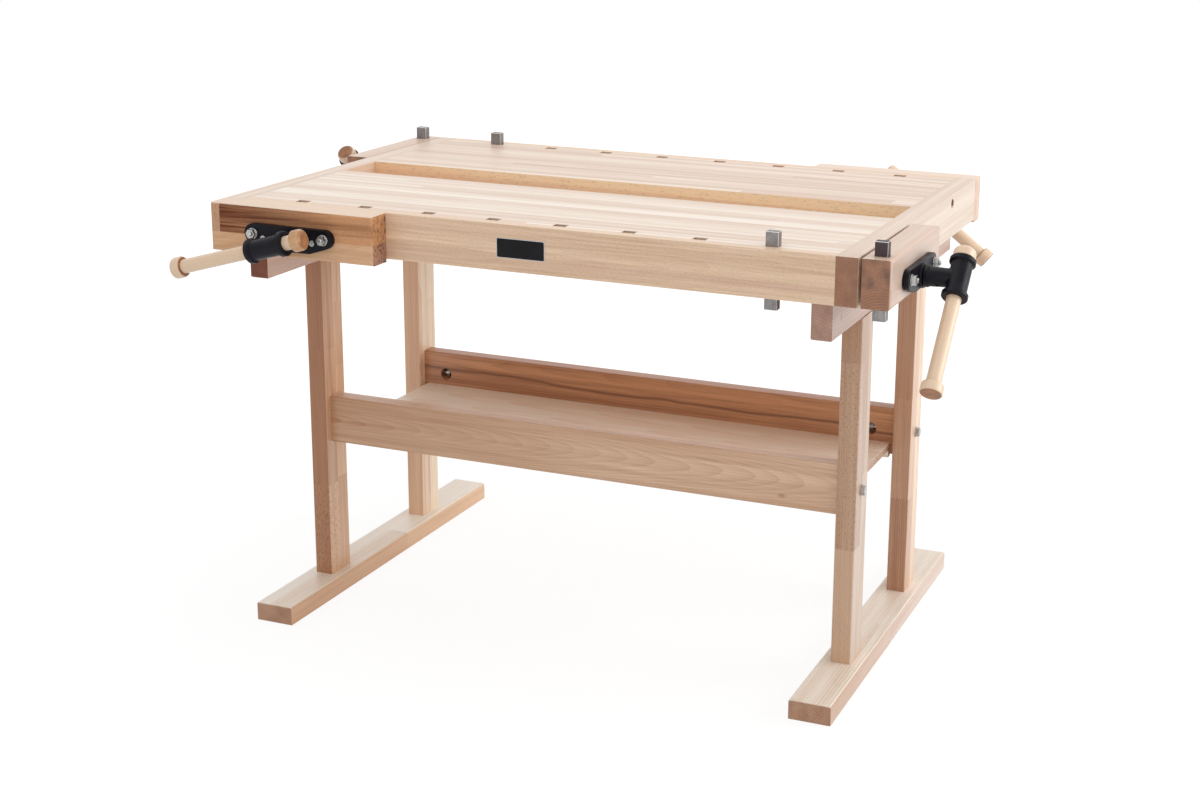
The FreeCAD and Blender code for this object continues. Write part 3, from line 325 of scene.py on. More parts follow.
def woodMaterial(name, boards=(), tints=(), knots=(), turned=False, rough=0.42, shine=0.42, lacquer=0.45,
                 **changes):
    # A board, other boards within limits, painted shade on faces that look along a direction, and knots. The
    # far pieces are half a turn round.
    material, tree, surface = newMaterial(name)
    coords = addNode(tree, "ShaderNodeTexCoord").outputs
    halfTurn = (0, 0, math.pi if turned else 0)
    place = rotated(tree, coords["Object"], halfTurn)
    normal = rotated(tree, coords["Normal"], halfTurn)
    use = dict(plainBeech, **changes)
    wood, relief = boardLook(tree, use, place, normal)
    for limits, others in boards:
        share = insideOf(tree, limits, place, normal)
        toned, raised = boardLook(tree, dict(use, **others), place, normal)
        wood = mixColour(tree, share, wood, toned)
        relief = between(tree, share, relief, raised)
    # Painted shade: faces that look along a direction are darkened
    for direction, tint in tints:
        facing = remap(tree, lookingAlong(tree, normal, direction), *squareness["tint"])
        wood = mixColour(tree, facing, wood, tint, "MULTIPLY")
    for knot in knots:
        away = vectorMath(tree, "SUBTRACT", place, knot["at"])["Vector"]
        away = vectorMath(tree, "LENGTH", stretched(tree, away, knot["squeeze"]))["Value"]
        ripple = calc(tree, "FRACT", calc(tree, "DIVIDE", away, knot["radius"] * knotLook["ring"]))
        ripple = between(tree, ripple, knotLook["faintest"], 1.0)
        halo = calc(tree, "MULTIPLY", remap(tree, away, knot["radius"], 0.0), ripple)
        wood = mixColour(tree, halo, wood, knot["colour"])
    tree.links.new(wood, surface.inputs["Base Color"])
    smooth, coarse = rough - woodSurface["smoother"], rough + woodSurface["rougher"]
    roughness = remap(tree, relief, *woodSurface["relief"], smooth, coarse)
    tree.links.new(roughness, surface.inputs["Roughness"])
    surface.inputs["Specular IOR Level"].default_value = shine
    surface.inputs["Coat Weight"].default_value = lacquer
    surface.inputs["Coat Roughness"].default_value = woodSurface["coatRough"]
    addBump(tree, surface, relief, woodSurface["bump"], woodSurface["depth"])
    return material


def bothWays(name, **changes):
    # The same wood for a piece and for its copy on the bench's other side
    return woodMaterial(name, **changes), woodMaterial(name + "Turned", turned=True, **changes)


# Patterns in a metre, and the bump's depth in metres
casting = dict(grit=700.0, patches=40.0, mottle=(0.35, 0.75), rough=(0.30, 0.46), bump=0.30, depth=0.0006)
steel = dict(stains=60.0, darker=0.55, brushShare=0.5, stainShare=0.5, bump=0.15, depth=0.0003)


def castingMaterial(name, pale, dark, gloss):
    # Satin black paint over sand-cast iron
    material, tree, surface = newMaterial(name)
    coords = addNode(tree, "ShaderNodeTexCoord").outputs["Object"]
    grit = noiseAt(tree, coords, casting["grit"], detail=3.0)
    patches = noiseAt(tree, coords, casting["patches"], detail=3.0)
    paint = mixColour(tree, remap(tree, patches, *casting["mottle"]), dark, pale)
    tree.links.new(paint, surface.inputs["Base Color"])
    roughness = remap(tree, patches, *noiseLevels["usual"], *casting["rough"])
    tree.links.new(roughness, surface.inputs["Roughness"])
    addBump(tree, surface, grit, casting["bump"], casting["depth"])
    surface.inputs["Specular IOR Level"].default_value = gloss
    return material


def steelMaterial(name, colour, rough, brush, scratch=0.12):
    material, tree, surface = newMaterial(name)
    coords = addNode(tree, "ShaderNodeTexCoord").outputs["Object"]
    lines = noiseAt(tree, stretched(tree, coords, brush), detail=4.0, roughness=0.6)
    stains = noiseAt(tree, coords, steel["stains"], detail=3.0)
    darker = tuple(channel * steel["darker"] for channel in colour[:3]) + (1.0,)
    stained = calc(tree, "MULTIPLY", stains, steel["stainShare"])
    shade = calc(tree, "MULTIPLY_ADD", lines, steel["brushShare"], stained)
    tinted = mixColour(tree, remap(tree, shade, *noiseLevels["usual"]), colour, darker)
    tree.links.new(tinted, surface.inputs["Base Color"])
    surface.inputs["Metallic"].default_value = 1.0
    spread = remap(tree, shade, *noiseLevels["usual"], rough - scratch / 2, rough + scratch)
    tree.links.new(spread, surface.inputs["Roughness"])
    addBump(tree, surface, lines, steel["bump"], steel["depth"])
    return material


# Top: narrow strips, a golden wall towards the trough, a calm apron and long end caps
troughWall = dict(pale=rgb(255, 234, 203), dark=rgb(255, 205, 155), staves=None, tone=0.04, fleck=0.24,
                  fleckSize=(110, 330), ringTone=0.1, streakTone=0.2, endTint=rgb(220, 190, 150),
                  shading=(-0.62, -0.30, 0.45))
topStrips = dict(staves=(0.0212, 0.09, 1.9), pale=rgb(252, 238, 222), dark=rgb(208, 174, 144), tone=0.32,
                 staveTone=0.62, streakTone=0.7, ringTone=0.3, blush=rgb(226, 190, 170), blushing=0.55,
                 fleck=0.06)
frontTop = woodMaterial("frontTopStrips", boards=(
    (dict(y=(-0.09, -0.06), facing=acrossBench), troughWall),), **topStrips)
# The rear panel's darker colours are painted shade, where the light falls off towards the back
shadedRearTop = woodMaterial("rearTopStrips", boards=(
    (dict(y=(0.06, 0.09), facing=-acrossBench), troughWall),), **dict(
        topStrips, pale=rgb(244, 224, 204), dark=rgb(200, 164, 134), scatter=(2.3, 0.09, 0.13)))
apronWood, rearApronWood = bothWays(
    "apronBoard", pale=rgb(253, 223, 191), dark=rgb(200, 160, 126), ring=0.0050, ringTone=0.16,
    streakTone=0.55, blushing=0.5, pith=(-0.36, 0.84), lean=(0.02, 0.01), warp=0.016, fibreTone=1.3,
    tone=0.40, fleck=0.3)
# The tint on each end cap's outer side is painted shade
capWood, leftCapWood = bothWays(
    "endCapWood", grain=acrossBench, pale=rgb(241, 221, 202), dark=rgb(206, 174, 148), ring=0.0045,
    pith=(-0.70, 0.78), lean=(0.03, 0.0), warp=0.012, streakTone=0.7, fibreTone=0.6, tone=0.38, blushing=0.3,
    shading=(-0.44, -0.10, 0.28), tints=((alongBench, rgb(248, 253, 255)),),
    endTint=rgb(186, 146, 120), endRings=0.2)
troughPly = woodMaterial("troughPlywood", pale=rgb(240, 204, 158), dark=rgb(210, 166, 116), ring=0.014,
                         ringTone=0.4, pith=(0.03, 0.79), lean=(0.0, 0.02), warp=0.03, fleck=0.4)
print("top woods made")

# Legs and feet: where each length starts along the grain, its tone and its share of flecks
# The tint on each leg's front faces is painted shade; on the front-left leg it also stands for darker wood
legWoods = {
    "leg_front_left": dict(
        pale=rgb(252, 212, 176), dark=rgb(207, 158, 123), pith=(-0.20, 0.72),
        tints=((-acrossBench, rgb(192, 165, 144)),),
        rows=dict(seam=-0.200, low=((0.0, 0.35, 0.9), (0.2425, 0.62, 0.15), (0.544, 0.7, 0.15)),
                  high=((0.0, 0.55, 0.15), (0.252, 0.2, 0.1), (0.500, 0.34, 0.1), (0.640, 0.22, 0.1)))),
    "leg_front_right": dict(
        pale=rgb(213, 190, 171), dark=rgb(177, 144, 120), pith=(-0.16, -0.44),
        tints=((-acrossBench, rgb(255, 238, 220)),),
        rows=dict(seam=-0.200, low=((0.0, 0.15, 0.2), (0.2765, 0.62, 0.75), (0.6515, 0.8, 0.4)),
                  high=((0.0, 0.2, 0.1), (0.42, 0.45, 0.1)))),
    "leg_rear_left": dict(
        pale=rgb(255, 235, 206), dark=rgb(220, 177, 148), pith=(0.20, 0.70), blushing=0.3, streakTone=0.6,
        tints=((-acrossBench, rgb(242, 223, 211)),),
        rows=dict(seam=0.200, low=((0.0, 0.5, 0.1), (0.33, 0.42, 0.1)),
                  high=((0.0, 0.1, 0.1), (0.56, 0.15, 0.1)))),
    "leg_rear_right": dict(
        pale=rgb(240, 211, 183), dark=rgb(190, 144, 115), pith=(0.24, -0.45),
        tints=((-acrossBench, rgb(229, 210, 197)),),
        rows=dict(seam=0.200, low=((0.0, 0.75, 0.2), (0.25, 0.45, 0.2), (0.47, 0.55, 0.1)),
                  high=((0.0, 0.15, 0.1), (0.47, 0.1, 0.1)))),
}
footLook = dict(grain=acrossBench, pale=rgb(255, 246, 233), dark=rgb(226, 194, 164),
                scatter=(1.0, 0.05, 0.05), endTint=rgb(198, 159, 135), ring=0.0042, fleck=0.3,
                streakTone=0.7, fibreTone=1.0, ringTone=0.6)
# The tint on each foot's right-facing side is painted shade, and that side darkens towards the front end as
# painted shade too
footWoods = {
    "foot_left": dict(
        footLook, pith=(0.52, -0.06), tints=((alongBench, rgb(237, 206, 177)),),
        boards=((dict(facing=alongBench), dict(shading=(-0.44, 0.20, 0.40))),),
        rows=dict(seam=0.599, low=((-uncut, 0.42, 0.15), (0.05, 0.15, 0.15)),
                  high=((-uncut, 0.12, 0.1), (-0.12, 0.2, 0.1)))),
    "foot_right": dict(
        footLook, pith=(-0.68, -0.08), tints=((alongBench, rgb(227, 214, 210)),),
        boards=((dict(facing=alongBench), dict(shading=(-0.44, 0.20, 0.75))),),
        rows=dict(seam=-0.5964, low=((-uncut, 0.34, 0.2), (-0.02, 0.2, 0.2)),
                  high=((-uncut, 0.26, 0.1), (0.18, 0.16, 0.1)))),
}
# The tint on each bearer's outer side is painted shade
bearerLook = dict(grain=acrossBench, pale=rgb(236, 208, 192), dark=rgb(194, 158, 140), ring=0.0050,
                  pith=(-0.54, 0.70), lean=(0.03, 0.0), warp=0.012, streakTone=0.7, endRings=0.15,
                  tints=((alongBench, rgb(218, 212, 210)),))
bearerWood = woodMaterial(
    "bearerWood", endTint=rgb(206, 185, 174),
    knots=(dict(at=(0.608, -0.375, 0.774), radius=0.007, squeeze=(1, 1, 0.7), colour=rgb(118, 80, 62)),),
    **bearerLook)
# The left bearer's paler colours are painted light on its inner side in the top's shade, and its dark end
# tint is a painted shadow under the jaw
leftBearerWood = woodMaterial(
    "leftBearerWood", turned=True, endTint=rgb(144, 100, 80), shine=0.25, lacquer=0.15,
    **dict(bearerLook, pale=rgb(250, 222, 206), dark=rgb(206, 169, 151)))
# The rail's top face gets paler colours, painted light from above
frontRailWood = woodMaterial(
    "frontRailWood", pale=rgb(234, 199, 168), dark=rgb(174, 122, 83), ring=0.0030, ringTone=0.26,
    ringShape=2.0, pith=(-0.165, 0.392), lean=(0.05, 0.006), fading=0.7, streakTone=0.6, tone=0.32,
    fibreTone=0.9, shading=(-0.57, 0.02, 0.44),
    boards=((dict(facing=upright), dict(pale=rgb(252, 218, 192), dark=rgb(192, 144, 112), shading=None)),),
    knots=(dict(at=(0.452, -0.219, 0.362), radius=0.006, squeeze=(0.5, 1, 1), colour=rgb(152, 108, 78)),))
# The tint on the rear rail's top is painted shade
rearRailWood = woodMaterial(
    "rearRailWood", pale=rgb(220, 162, 120), dark=rgb(150, 94, 62), ring=0.0050, ringTone=0.3,
    pith=(0.13, 0.44), lean=(0.03, 0.0), warp=0.014, streakTone=0.75, tone=0.42, fibreTone=1.1,
    tints=((upright, rgb(255, 250, 250)),),
    vein=dict(level=0.394, slope=-0.012, waves=(2.6, 4, 0), sway=0.020, wide=0.0050, strength=0.75,
              colour=rgb(96, 54, 34)))
shelfWood = woodMaterial(
    "shelfWood", staves=(0.095, uncut, uncut), pale=rgb(255, 244, 229), dark=rgb(231, 186, 154),
    scatter=(0.9, 0.03, 0.02), tone=0.30, staveTone=0.3, shading=(-0.5, 0.1, -0.28), ring=0.0055,
    ringTone=0.5, pith=(0.0, -4.19), lean=(0.004, 0.03))
print("base woods made")

# Vise jaws: the front one has dark heartwood above a paler board, and both face jaws have a pale top, which
# is paler wood with painted light from above.
# Heights of the jaws' upper boards, from the seam to above the top, in metres.
faceJawUpper = (0.843, 0.95)
endJawUpper = (0.846, 0.95)
heartBoard = dict(pale=rgb(217, 161, 118), dark=rgb(98, 40, 14), tone=0.16, streakTone=1.3, ring=0.0060,
                  ringTone=0.22, pith=(-0.40, 0.93), warp=0.014, fibreTone=0.8, fleck=0.3,
                  shading=(-0.64, -0.36, 0.74))
heartEnd = dict(pale=rgb(234, 174, 126), dark=rgb(152, 98, 64), tone=0.3, streakTone=0.5, endRings=0.15,
                endTint=rgb(255, 255, 255), checks=0.6)
jawBlock = dict(grain=upright, pale=rgb(222, 178, 146), dark=rgb(188, 141, 109), fleck=0.6, ringTone=0.1)
# Tops of the face jaws: paler wood with painted light from above
jawTopPaleAndLit = dict(pale=rgb(250, 230, 212), dark=rgb(228, 192, 164), tone=0.4, checks=0.0)
faceJawLook = dict(pale=rgb(243, 202, 163), dark=rgb(200, 151, 114), ring=0.0046, ringTone=0.25, checks=0.9,
                   pith=(-0.30, 0.86), lean=(0.05, 0.0), endTint=rgb(228, 213, 221), fibreTone=0.8)
faceJawWood = woodMaterial("faceJawWood", shine=0.12, lacquer=0.05, boards=(
    (dict(z=faceJawUpper), heartBoard), (dict(z=faceJawUpper, facing=alongBench), heartEnd),
    (dict(x=(-0.70, -0.633), z=faceJawUpper), jawBlock),
    (dict(z=faceJawUpper, facing=upright), jawTopPaleAndLit)), **faceJawLook)
rearFaceJawWood = woodMaterial(
    "rearFaceJawWood", turned=True, boards=((dict(z=faceJawUpper, facing=upright), jawTopPaleAndLit),),
    **dict(faceJawLook, pale=rgb(248, 222, 200), dark=rgb(222, 186, 160), endTint=rgb(255, 244, 236),
           checks=0.0))
# The tint on each end jaw's outer side is painted shade
endJawWood, leftEndJawWood = bothWays(
    "endJawWood", grain=acrossBench, pale=rgb(233, 206, 182), dark=rgb(198, 160, 132), ring=0.0050,
    ringTone=0.22, pith=(-0.690, 0.762), lean=(0.03, 0.0), warp=0.003, endRings=0.42,
    endTint=rgb(198, 159, 132), blushing=0.3, streakTone=0.5, tints=((alongBench, rgb(237, 239, 245)),),
    boards=((dict(z=endJawUpper), dict(
        pale=rgb(235, 210, 189), dark=rgb(206, 170, 145), pith=(-0.72, 1.01), endRings=0.12, endBlotch=0.5,
        endTint=rgb(181, 145, 120))),))
print("jaw woods made")

satinBlack = castingMaterial("satinBlack", rgb(25, 23, 33), rgb(12, 10, 18), 0.16)
plateBlack = castingMaterial("plateBlack", rgb(24, 24, 27), rgb(16, 15, 18), 0.15)
silverRim = steelMaterial("silverRim", rgb(214, 214, 216), 0.30, (300, 300, 300), 0.08)
zincPlate = steelMaterial("zincPlate", rgb(206, 206, 204), 0.26, (200, 200, 200))
brightSteel = steelMaterial("brightSteel", rgb(186, 186, 188), 0.24, (60, 60, 400))


# Heights where a darker head begins and is full, in metres, how square the faces by a corner are, and the
# colour of the painted highlight on the corners
dogSteel = dict(head=(0.897, 0.902), corner=(0.99, 0.93), cornerColour=rgb(222, 220, 218))


def dogMaterial(name, headColour=None):
    # Milled steel with a painted highlight on its rounded corners. The head that stands above the top may be
    # darker.
    material = steelMaterial(name, rgb(150, 145, 145), 0.36, (260, 260, 60), 0.2)
    tree = material.node_tree
    surface = surfaceOf(tree)
    colour = surface.inputs["Base Color"].links[0].from_socket
    coords = addNode(tree, "ShaderNodeTexCoord").outputs
    if headColour:
        height = split(tree, coords["Object"])[2]
        colour = mixColour(tree, remap(tree, height, *dogSteel["head"]), colour, headColour)
    facing = [calc(tree, "ABSOLUTE", side) for side in split(tree, coords["Normal"])]
    flat = calc(tree, "MAXIMUM", calc(tree, "MAXIMUM", facing[0], facing[1]), facing[2])
    # The rounded corners get a painted highlight
    colour = mixColour(tree, remap(tree, flat, *dogSteel["corner"]), colour, dogSteel["cornerColour"])
    tree.links.new(colour, surface.inputs["Base Color"])
    return material


milledSteel = dogMaterial("milledSteel")
darkHeadSteel = dogMaterial("darkHeadSteel", rgb(72, 62, 64))
print("metals made")


# Where the pith lies from a handle's middle, in metres
handlePith = (0.006, -0.010)


def handleMaterial(vise, piece="Handle", **changes):
    grain = Vector(joints[f"{vise}_bar_slide"]["axis"])
    low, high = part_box(f"{vise}_vise_bar")
    turn = grain.rotation_difference(alongBench)
    middle = (turn @ ((low + high) / 2))[1:3]
    pith = (middle[0] + handlePith[0], middle[1] + handlePith[1])
    look = dict(pale=rgb(246, 222, 194), dark=rgb(220, 182, 146), ring=0.0032, ringTone=0.2, warp=0.002,
                endTint=rgb(184, 138, 100), endRings=0.4, endBlotch=0.4)
    return woodMaterial(f"{vise}{piece}Wood", grain=grain, pith=pith, rough=0.36, **dict(look, **changes))


def camelName(name):
    first, *others = name.split("_")
    return first + "".join(word.capitalize() for word in others)


finishes = {
    "panel_front": frontTop, "panel_rear": shadedRearTop, "dog_strip_front": frontTop, "dog_strip_rear": shadedRearTop,
    "face_board_front": apronWood, "face_board_rear": rearApronWood,
    "end_cap_right": capWood, "end_cap_left": leftCapWood, "trough_floor": troughPly,
    "bearer_right": bearerWood, "bearer_left": leftBearerWood,
    "rail_front": frontRailWood, "rail_rear": rearRailWood,
    "shelf_board": shelfWood, "shelf_cleats": shelfWood,
    "front_vise_jaw": faceJawWood, "rear_vise_jaw": rearFaceJawWood,
    "right_vise_jaw": endJawWood, "left_vise_jaw": leftEndJawWood,
    "lag_screws": zincPlate, "rail_bolts": zincPlate, "vise_nut_plates": satinBlack,
    "dog_front": milledSteel, "dog_rear": milledSteel,
    "dog_right_jaw": darkHeadSteel, "dog_left_jaw": milledSteel,
}
for name, changes in legWoods.items():
    finishes[name] = woodMaterial(camelName(name) + "Wood", grain=upright, ring=0.0038, ringTone=0.5,
                                  fibreTone=1.1, scatter=(1.6, 0.05, 0.05), **changes)
for name, changes in footWoods.items():
    finishes[name] = woodMaterial(camelName(name) + "Wood", **changes)
for vise in viseNames:
    handle = handleMaterial(vise)
    finishes.update({
        f"{vise}_vise_flange": satinBlack, f"{vise}_vise_hub": satinBlack,
        f"{vise}_vise_guide_rods": brightSteel,
        f"{vise}_vise_jaw_bolts": zincPlate, f"{vise}_vise_spindle": brightSteel,
        f"{vise}_vise_bar": handle, f"{vise}_vise_knob": handle})
finishes["front_vise_knob"] = handleMaterial(
    "front", "Knob", pale=rgb(222, 176, 128), dark=rgb(176, 124, 82), streakTone=0.8, fibreTone=0.9,
    endTint=rgb(226, 200, 176))

# Width of the small round arris on each kind of piece, in metres
arrises = {
    "panel_": 0.0006, "dog_strip_": 0.0006, "face_board_": 0.0016, "end_cap_": 0.0016, "foot_": 0.001,
    "leg_": 0.001, "bearer_": 0.001, "rail_front": 0.001, "rail_rear": 0.001, "shelf_": 0.0015,
    "dog_front": 0.0014, "dog_rear": 0.0014, "dog_right_jaw": 0.0014, "dog_left_jaw": 0.0014,
    "right_vise_jaw": 0.0012, "left_vise_jaw": 0.0012,
    "front_vise_jaw": 0.0012, "rear_vise_jaw": 0.0012,
}
for vise in viseNames:
    arrises[f"{vise}_vise_flange"] = 0.0012


def bestMatch(name, table):
    fitting = [prefix for prefix in table if name.startswith(prefix)]
    return table[max(fitting, key=len)] if fitting else None


# Vertices this near are one, in metres. Faces within the first angle are flat, edges past the second sharp.
softening = dict(weld=0.00001, flat=math.radians(1), sharp=math.radians(40))


def softenEdges(node, width):
    # The solid's triangles are joined, flattened into faces and given a small round arris
    weld = node.modifiers.new("join", "WELD")
    weld.merge_threshold = softening["weld"]
    flat = node.modifiers.new("flat", "DECIMATE")
    flat.decimate_type = "DISSOLVE"
    flat.angle_limit = softening["flat"]
    arris = node.modifiers.new("arris", "BEVEL")
    arris.width = width
    arris.segments = 2
    arris.limit_method = "ANGLE"
    arris.angle_limit = softening["sharp"]


for name, node in nodes.items():
    node.data.materials.clear()
    node.data.materials.append(finishes[name])
    width = bestMatch(name, arrises)
    if width:
        softenEdges(node, width)
print("solids finished")


def addPiece(name, shape, body, *materials):
    bmesh.ops.recalc_face_normals(shape, faces=shape.faces)
    mesh = bpy.data.meshes.new(name)
    shape.to_mesh(mesh)
    shape.free()
    for material in materials:
        mesh.materials.append(material)
    piece = bpy.data.objects.new(name, mesh)
    bpy.context.scene.collection.objects.link(piece)
    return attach(piece, body)


def bevelEdges(shape, edges, width, segments=2):
    bmesh.ops.bevel(shape, geom=edges, offset=width, offset_type="OFFSET", segments=segments, profile=0.5,
                    affect="EDGES", clamp_overlap=True, material=-1)


# Differences in metres below which places count as level, and as one end of a rod
sameLevel = 1e-6
sameEnd = 1e-7
# Faces with more corners than this are the flats of round shapes
fewCorners = 8

# The bare plate on the front apron, in metres
namePlate = dict(centre=(-0.001, 0.855), size=(0.100, 0.038), thick=0.0012, corner=0.0035, cornerSteps=6,
                 rim=0.0010, sink=0.0003, wall=0.0002)


def buildPlate():
    wide, high = namePlate["size"]
    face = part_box("face_board_front")[0].y
    shape = bmesh.new()
    bmesh.ops.create_cube(shape, size=1.0)
    bmesh.ops.scale(shape, vec=(wide, namePlate["thick"], high), verts=shape.verts)
    corners = [edge for edge in shape.edges if abs(edge.verts[0].co.y - edge.verts[1].co.y) > sameLevel]
    bevelEdges(shape, corners, namePlate["corner"], namePlate["cornerSteps"])
    shape.faces.ensure_lookup_table()
    front = min(shape.faces, key=lambda item: item.calc_center_median().y)
    bmesh.ops.inset_region(shape, faces=[front], thickness=namePlate["rim"], use_even_offset=True)
    field = min((item for item in shape.faces if len(item.verts) > fewCorners),
                key=lambda item: item.calc_center_median().y)
    field.material_index = 1
    sunk = bmesh.ops.inset_region(shape, faces=[field], thickness=namePlate["wall"], depth=-namePlate["sink"],
                                  use_even_offset=True)
    for wall in sunk["faces"]:
        wall.material_index = 1
    x, z = namePlate["centre"]
    bmesh.ops.translate(shape, vec=(x, face - namePlate["thick"] / 2, z), verts=shape.verts)
    addPiece("front_plate", shape, "bench", silverRim, plateBlack)


buildPlate()
print("plate made")


# The vise screws' cut thread and smooth journal, in metres
screwThread = dict(core=0.0085, crest=0.00995, pitch=0.004, foot=0.0027, land=0.0013, steps=18)
threadBite = 0.0003
journal = dict(radius=0.00995, collar=0.0149, collarThick=0.0058, edge=0.0006, lead=0.0015, play=0.0001,
               overlap=0.001)


def addRod(shape, start, end, radius, segments=32, bevel=0.0):
    # A bar along X from one place to another
    made = bmesh.ops.create_cone(shape, cap_ends=True, segments=segments, radius1=radius, radius2=radius,
                                 depth=abs(end - start))
    bmesh.ops.rotate(shape, verts=made["verts"], matrix=Matrix.Rotation(math.pi / 2, 3, "Y"))
    bmesh.ops.translate(shape, verts=made["verts"], vec=((start + end) / 2, 0, 0))
    if bevel:
        rims = {edge for vert in made["verts"] for edge in vert.link_edges
                if abs(edge.verts[0].co.x - edge.verts[1].co.x) < sameEnd}
        bevelEdges(shape, list(rims), bevel)


def addThread(shape, start, end, core, crest, pitch, foot, land, steps):
    # A ridge wound along X by spinning its section round and forward, rooted a little inside the core
    turns = int((end - start - foot) / pitch)
    root = core - threadBite
    section = [shape.verts.new((start + along, 0, radius)) for along, radius in (
        (0, root), (foot, root), ((foot + land) / 2, crest), ((foot - land) / 2, crest))]
    profile = shape.faces.new(section)
    bmesh.ops.spin(shape, geom=[profile, *profile.edges, *profile.verts], cent=(0, 0, 0), axis=(1, 0, 0),
                   dvec=(pitch / steps, 0, 0), angle=2 * math.pi * turns, steps=steps * turns,
                   use_merge=False, use_duplicate=False)


def viseMatrix(vise):
    # From X along the screw, out of the bench, to the screw's place at rest
    joint = joints[f"{vise}_screw_turn"]
    axis = Vector(joint["axis"])
    turn = Matrix.Rotation(math.atan2(axis.y, axis.x), 4, "Z")
    return Matrix.Translation(joint["pos_m"]) @ turn, axis


def reachAlong(node, vise):
    # A node's nearest and farthest place along its vise's screw
    place, axis = viseMatrix(vise)
    along = [(corner - place.translation).dot(axis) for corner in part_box(node)]
    return min(along), max(along)


def buildSpindle(vise):
    inner, outer = reachAlong(f"{vise}_vise_spindle", vise)
    jawOut = reachAlong(f"{vise}_vise_jaw", vise)[1]
    collarIn = jawOut - journal["collarThick"]
    shape = bmesh.new()
    addRod(shape, inner, collarIn, screwThread["core"], bevel=journal["lead"])
    addThread(shape, inner + journal["lead"], collarIn, **screwThread)
    addRod(shape, collarIn, jawOut - journal["play"], journal["collar"], 48, journal["edge"])
    addRod(shape, jawOut - journal["overlap"], outer, journal["radius"])
    shape.transform(viseMatrix(vise)[0])
    piece = addPiece(f"{vise}_vise_screw", shape, f"{vise}_screw", brightSteel)
    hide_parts(f"{vise}_vise_spindle")


# Bolts that hold each flange to its jaw, in metres
jawBolt = dict(spread=0.079, rise=0.008, radius=0.00495, core=0.0042, tip=0.004, head=0.0084, headDeep=0.0063,
               recess=0.0003, washer=0.0109, washerThick=0.002, nutAcross=0.017, nutHigh=0.008,
               headEdge=0.0008, tipEdge=0.0005, shankShort=0.001, threadIn=0.002,
               thread=dict(pitch=0.0015, foot=0.0011, land=0.0003, steps=16))
rodScrew = dict(spread=0.055, radius=0.0028, head=0.0059, headHigh=0.0029, rim=0.0006, socket=0.0026,
                socketDeep=0.0016, socketTaper=0.00005, bite=0.014)
flangeThick = 0.012
washerEdge = 0.0004
# What is turned off a nut's corners, as a share of its width
nutCorner = 0.09


def moveTo(shape, before, place):
    # What wasn't among the vertices before goes to its place
    fresh = [vert for vert in shape.verts if vert not in before]
    bmesh.ops.translate(shape, verts=fresh, vec=place)


def addNut(shape, start, across, high, outward=1):
    # A hexagon with its corners turned off
    corner = across / 2 / math.cos(math.pi / 6)
    made = bmesh.ops.create_cone(shape, cap_ends=True, segments=6, radius1=corner, radius2=corner, depth=high)
    bmesh.ops.rotate(shape, verts=made["verts"], matrix=Matrix.Rotation(math.pi / 2, 3, "Y"))
    bmesh.ops.translate(shape, verts=made["verts"], vec=(start + outward * high / 2, 0, 0))
    bmesh.ops.bevel(shape, geom=made["verts"], offset=across * nutCorner, offset_type="OFFSET", segments=2,
                    profile=0.5, affect="VERTICES", clamp_overlap=True, material=-1)


def sinkSocket(shape, level, screw):
    # A key's socket in the flat head that lies on the axis at a level along X
    flat = [face for face in shape.faces if len(face.verts) > fewCorners
            and abs(face.calc_center_median().x - level) < sameLevel]
    top = min(flat, key=lambda face: face.calc_center_median().yz.length)
    bmesh.ops.inset_region(shape, faces=[top], thickness=screw["head"] - screw["rim"] - screw["socket"],
                           use_even_offset=True)
    bmesh.ops.inset_region(shape, faces=[top], thickness=screw["socketTaper"], depth=-screw["socketDeep"],
                           use_even_offset=True)


def buildJawBolts(vise):
    seat, jawOut = reachAlong(f"{vise}_vise_jaw", vise)
    face = jawOut + flangeThick
    nutSeat = face + jawBolt["washerThick"]
    nutTop = nutSeat + jawBolt["nutHigh"]
    tip = nutTop + jawBolt["tip"]
    headOut = seat + jawBolt["headDeep"]
    shankEnd = nutTop - jawBolt["shankShort"]
    shape = bmesh.new()
    for side in (-1, 1):
        before = set(shape.verts)
        addRod(shape, seat + jawBolt["recess"], headOut, jawBolt["head"], 32, jawBolt["headEdge"])
        addRod(shape, headOut, shankEnd, jawBolt["radius"], 24)
        addRod(shape, shankEnd, tip, jawBolt["core"], 24, jawBolt["tipEdge"])
        addThread(shape, nutTop - jawBolt["threadIn"], tip, core=jawBolt["core"], crest=jawBolt["radius"],
                  **jawBolt["thread"])
        addRod(shape, face, nutSeat, jawBolt["washer"], 40, washerEdge)
        addNut(shape, nutSeat, jawBolt["nutAcross"], jawBolt["nutHigh"])
        moveTo(shape, before, (0, side * jawBolt["spread"], jawBolt["rise"]))
        before = set(shape.verts)
        addRod(shape, jawOut - rodScrew["bite"], face, rodScrew["radius"], 20)
        addRod(shape, face, face + rodScrew["headHigh"], rodScrew["head"], 32, rodScrew["rim"])
        sinkSocket(shape, face + rodScrew["headHigh"], rodScrew)
        moveTo(shape, before, (0, side * rodScrew["spread"], 0))
    shape.transform(viseMatrix(vise)[0])
    piece = addPiece(f"{vise}_vise_bolts_and_nuts", shape, f"{vise}_jaw", zincPlate)
    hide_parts(f"{vise}_vise_jaw_bolts")


for vise in viseNames:
    buildSpindle(vise)
    buildJawBolts(vise)
print("vise screws and bolts made")


# Bolts of the rails, in metres
railBolt = dict(radius=0.00495, head=0.017, headHigh=0.0064, washer=0.0109, washerThick=0.002, nutHigh=0.008,
                nutIn=0.056, pastNut=0.002)


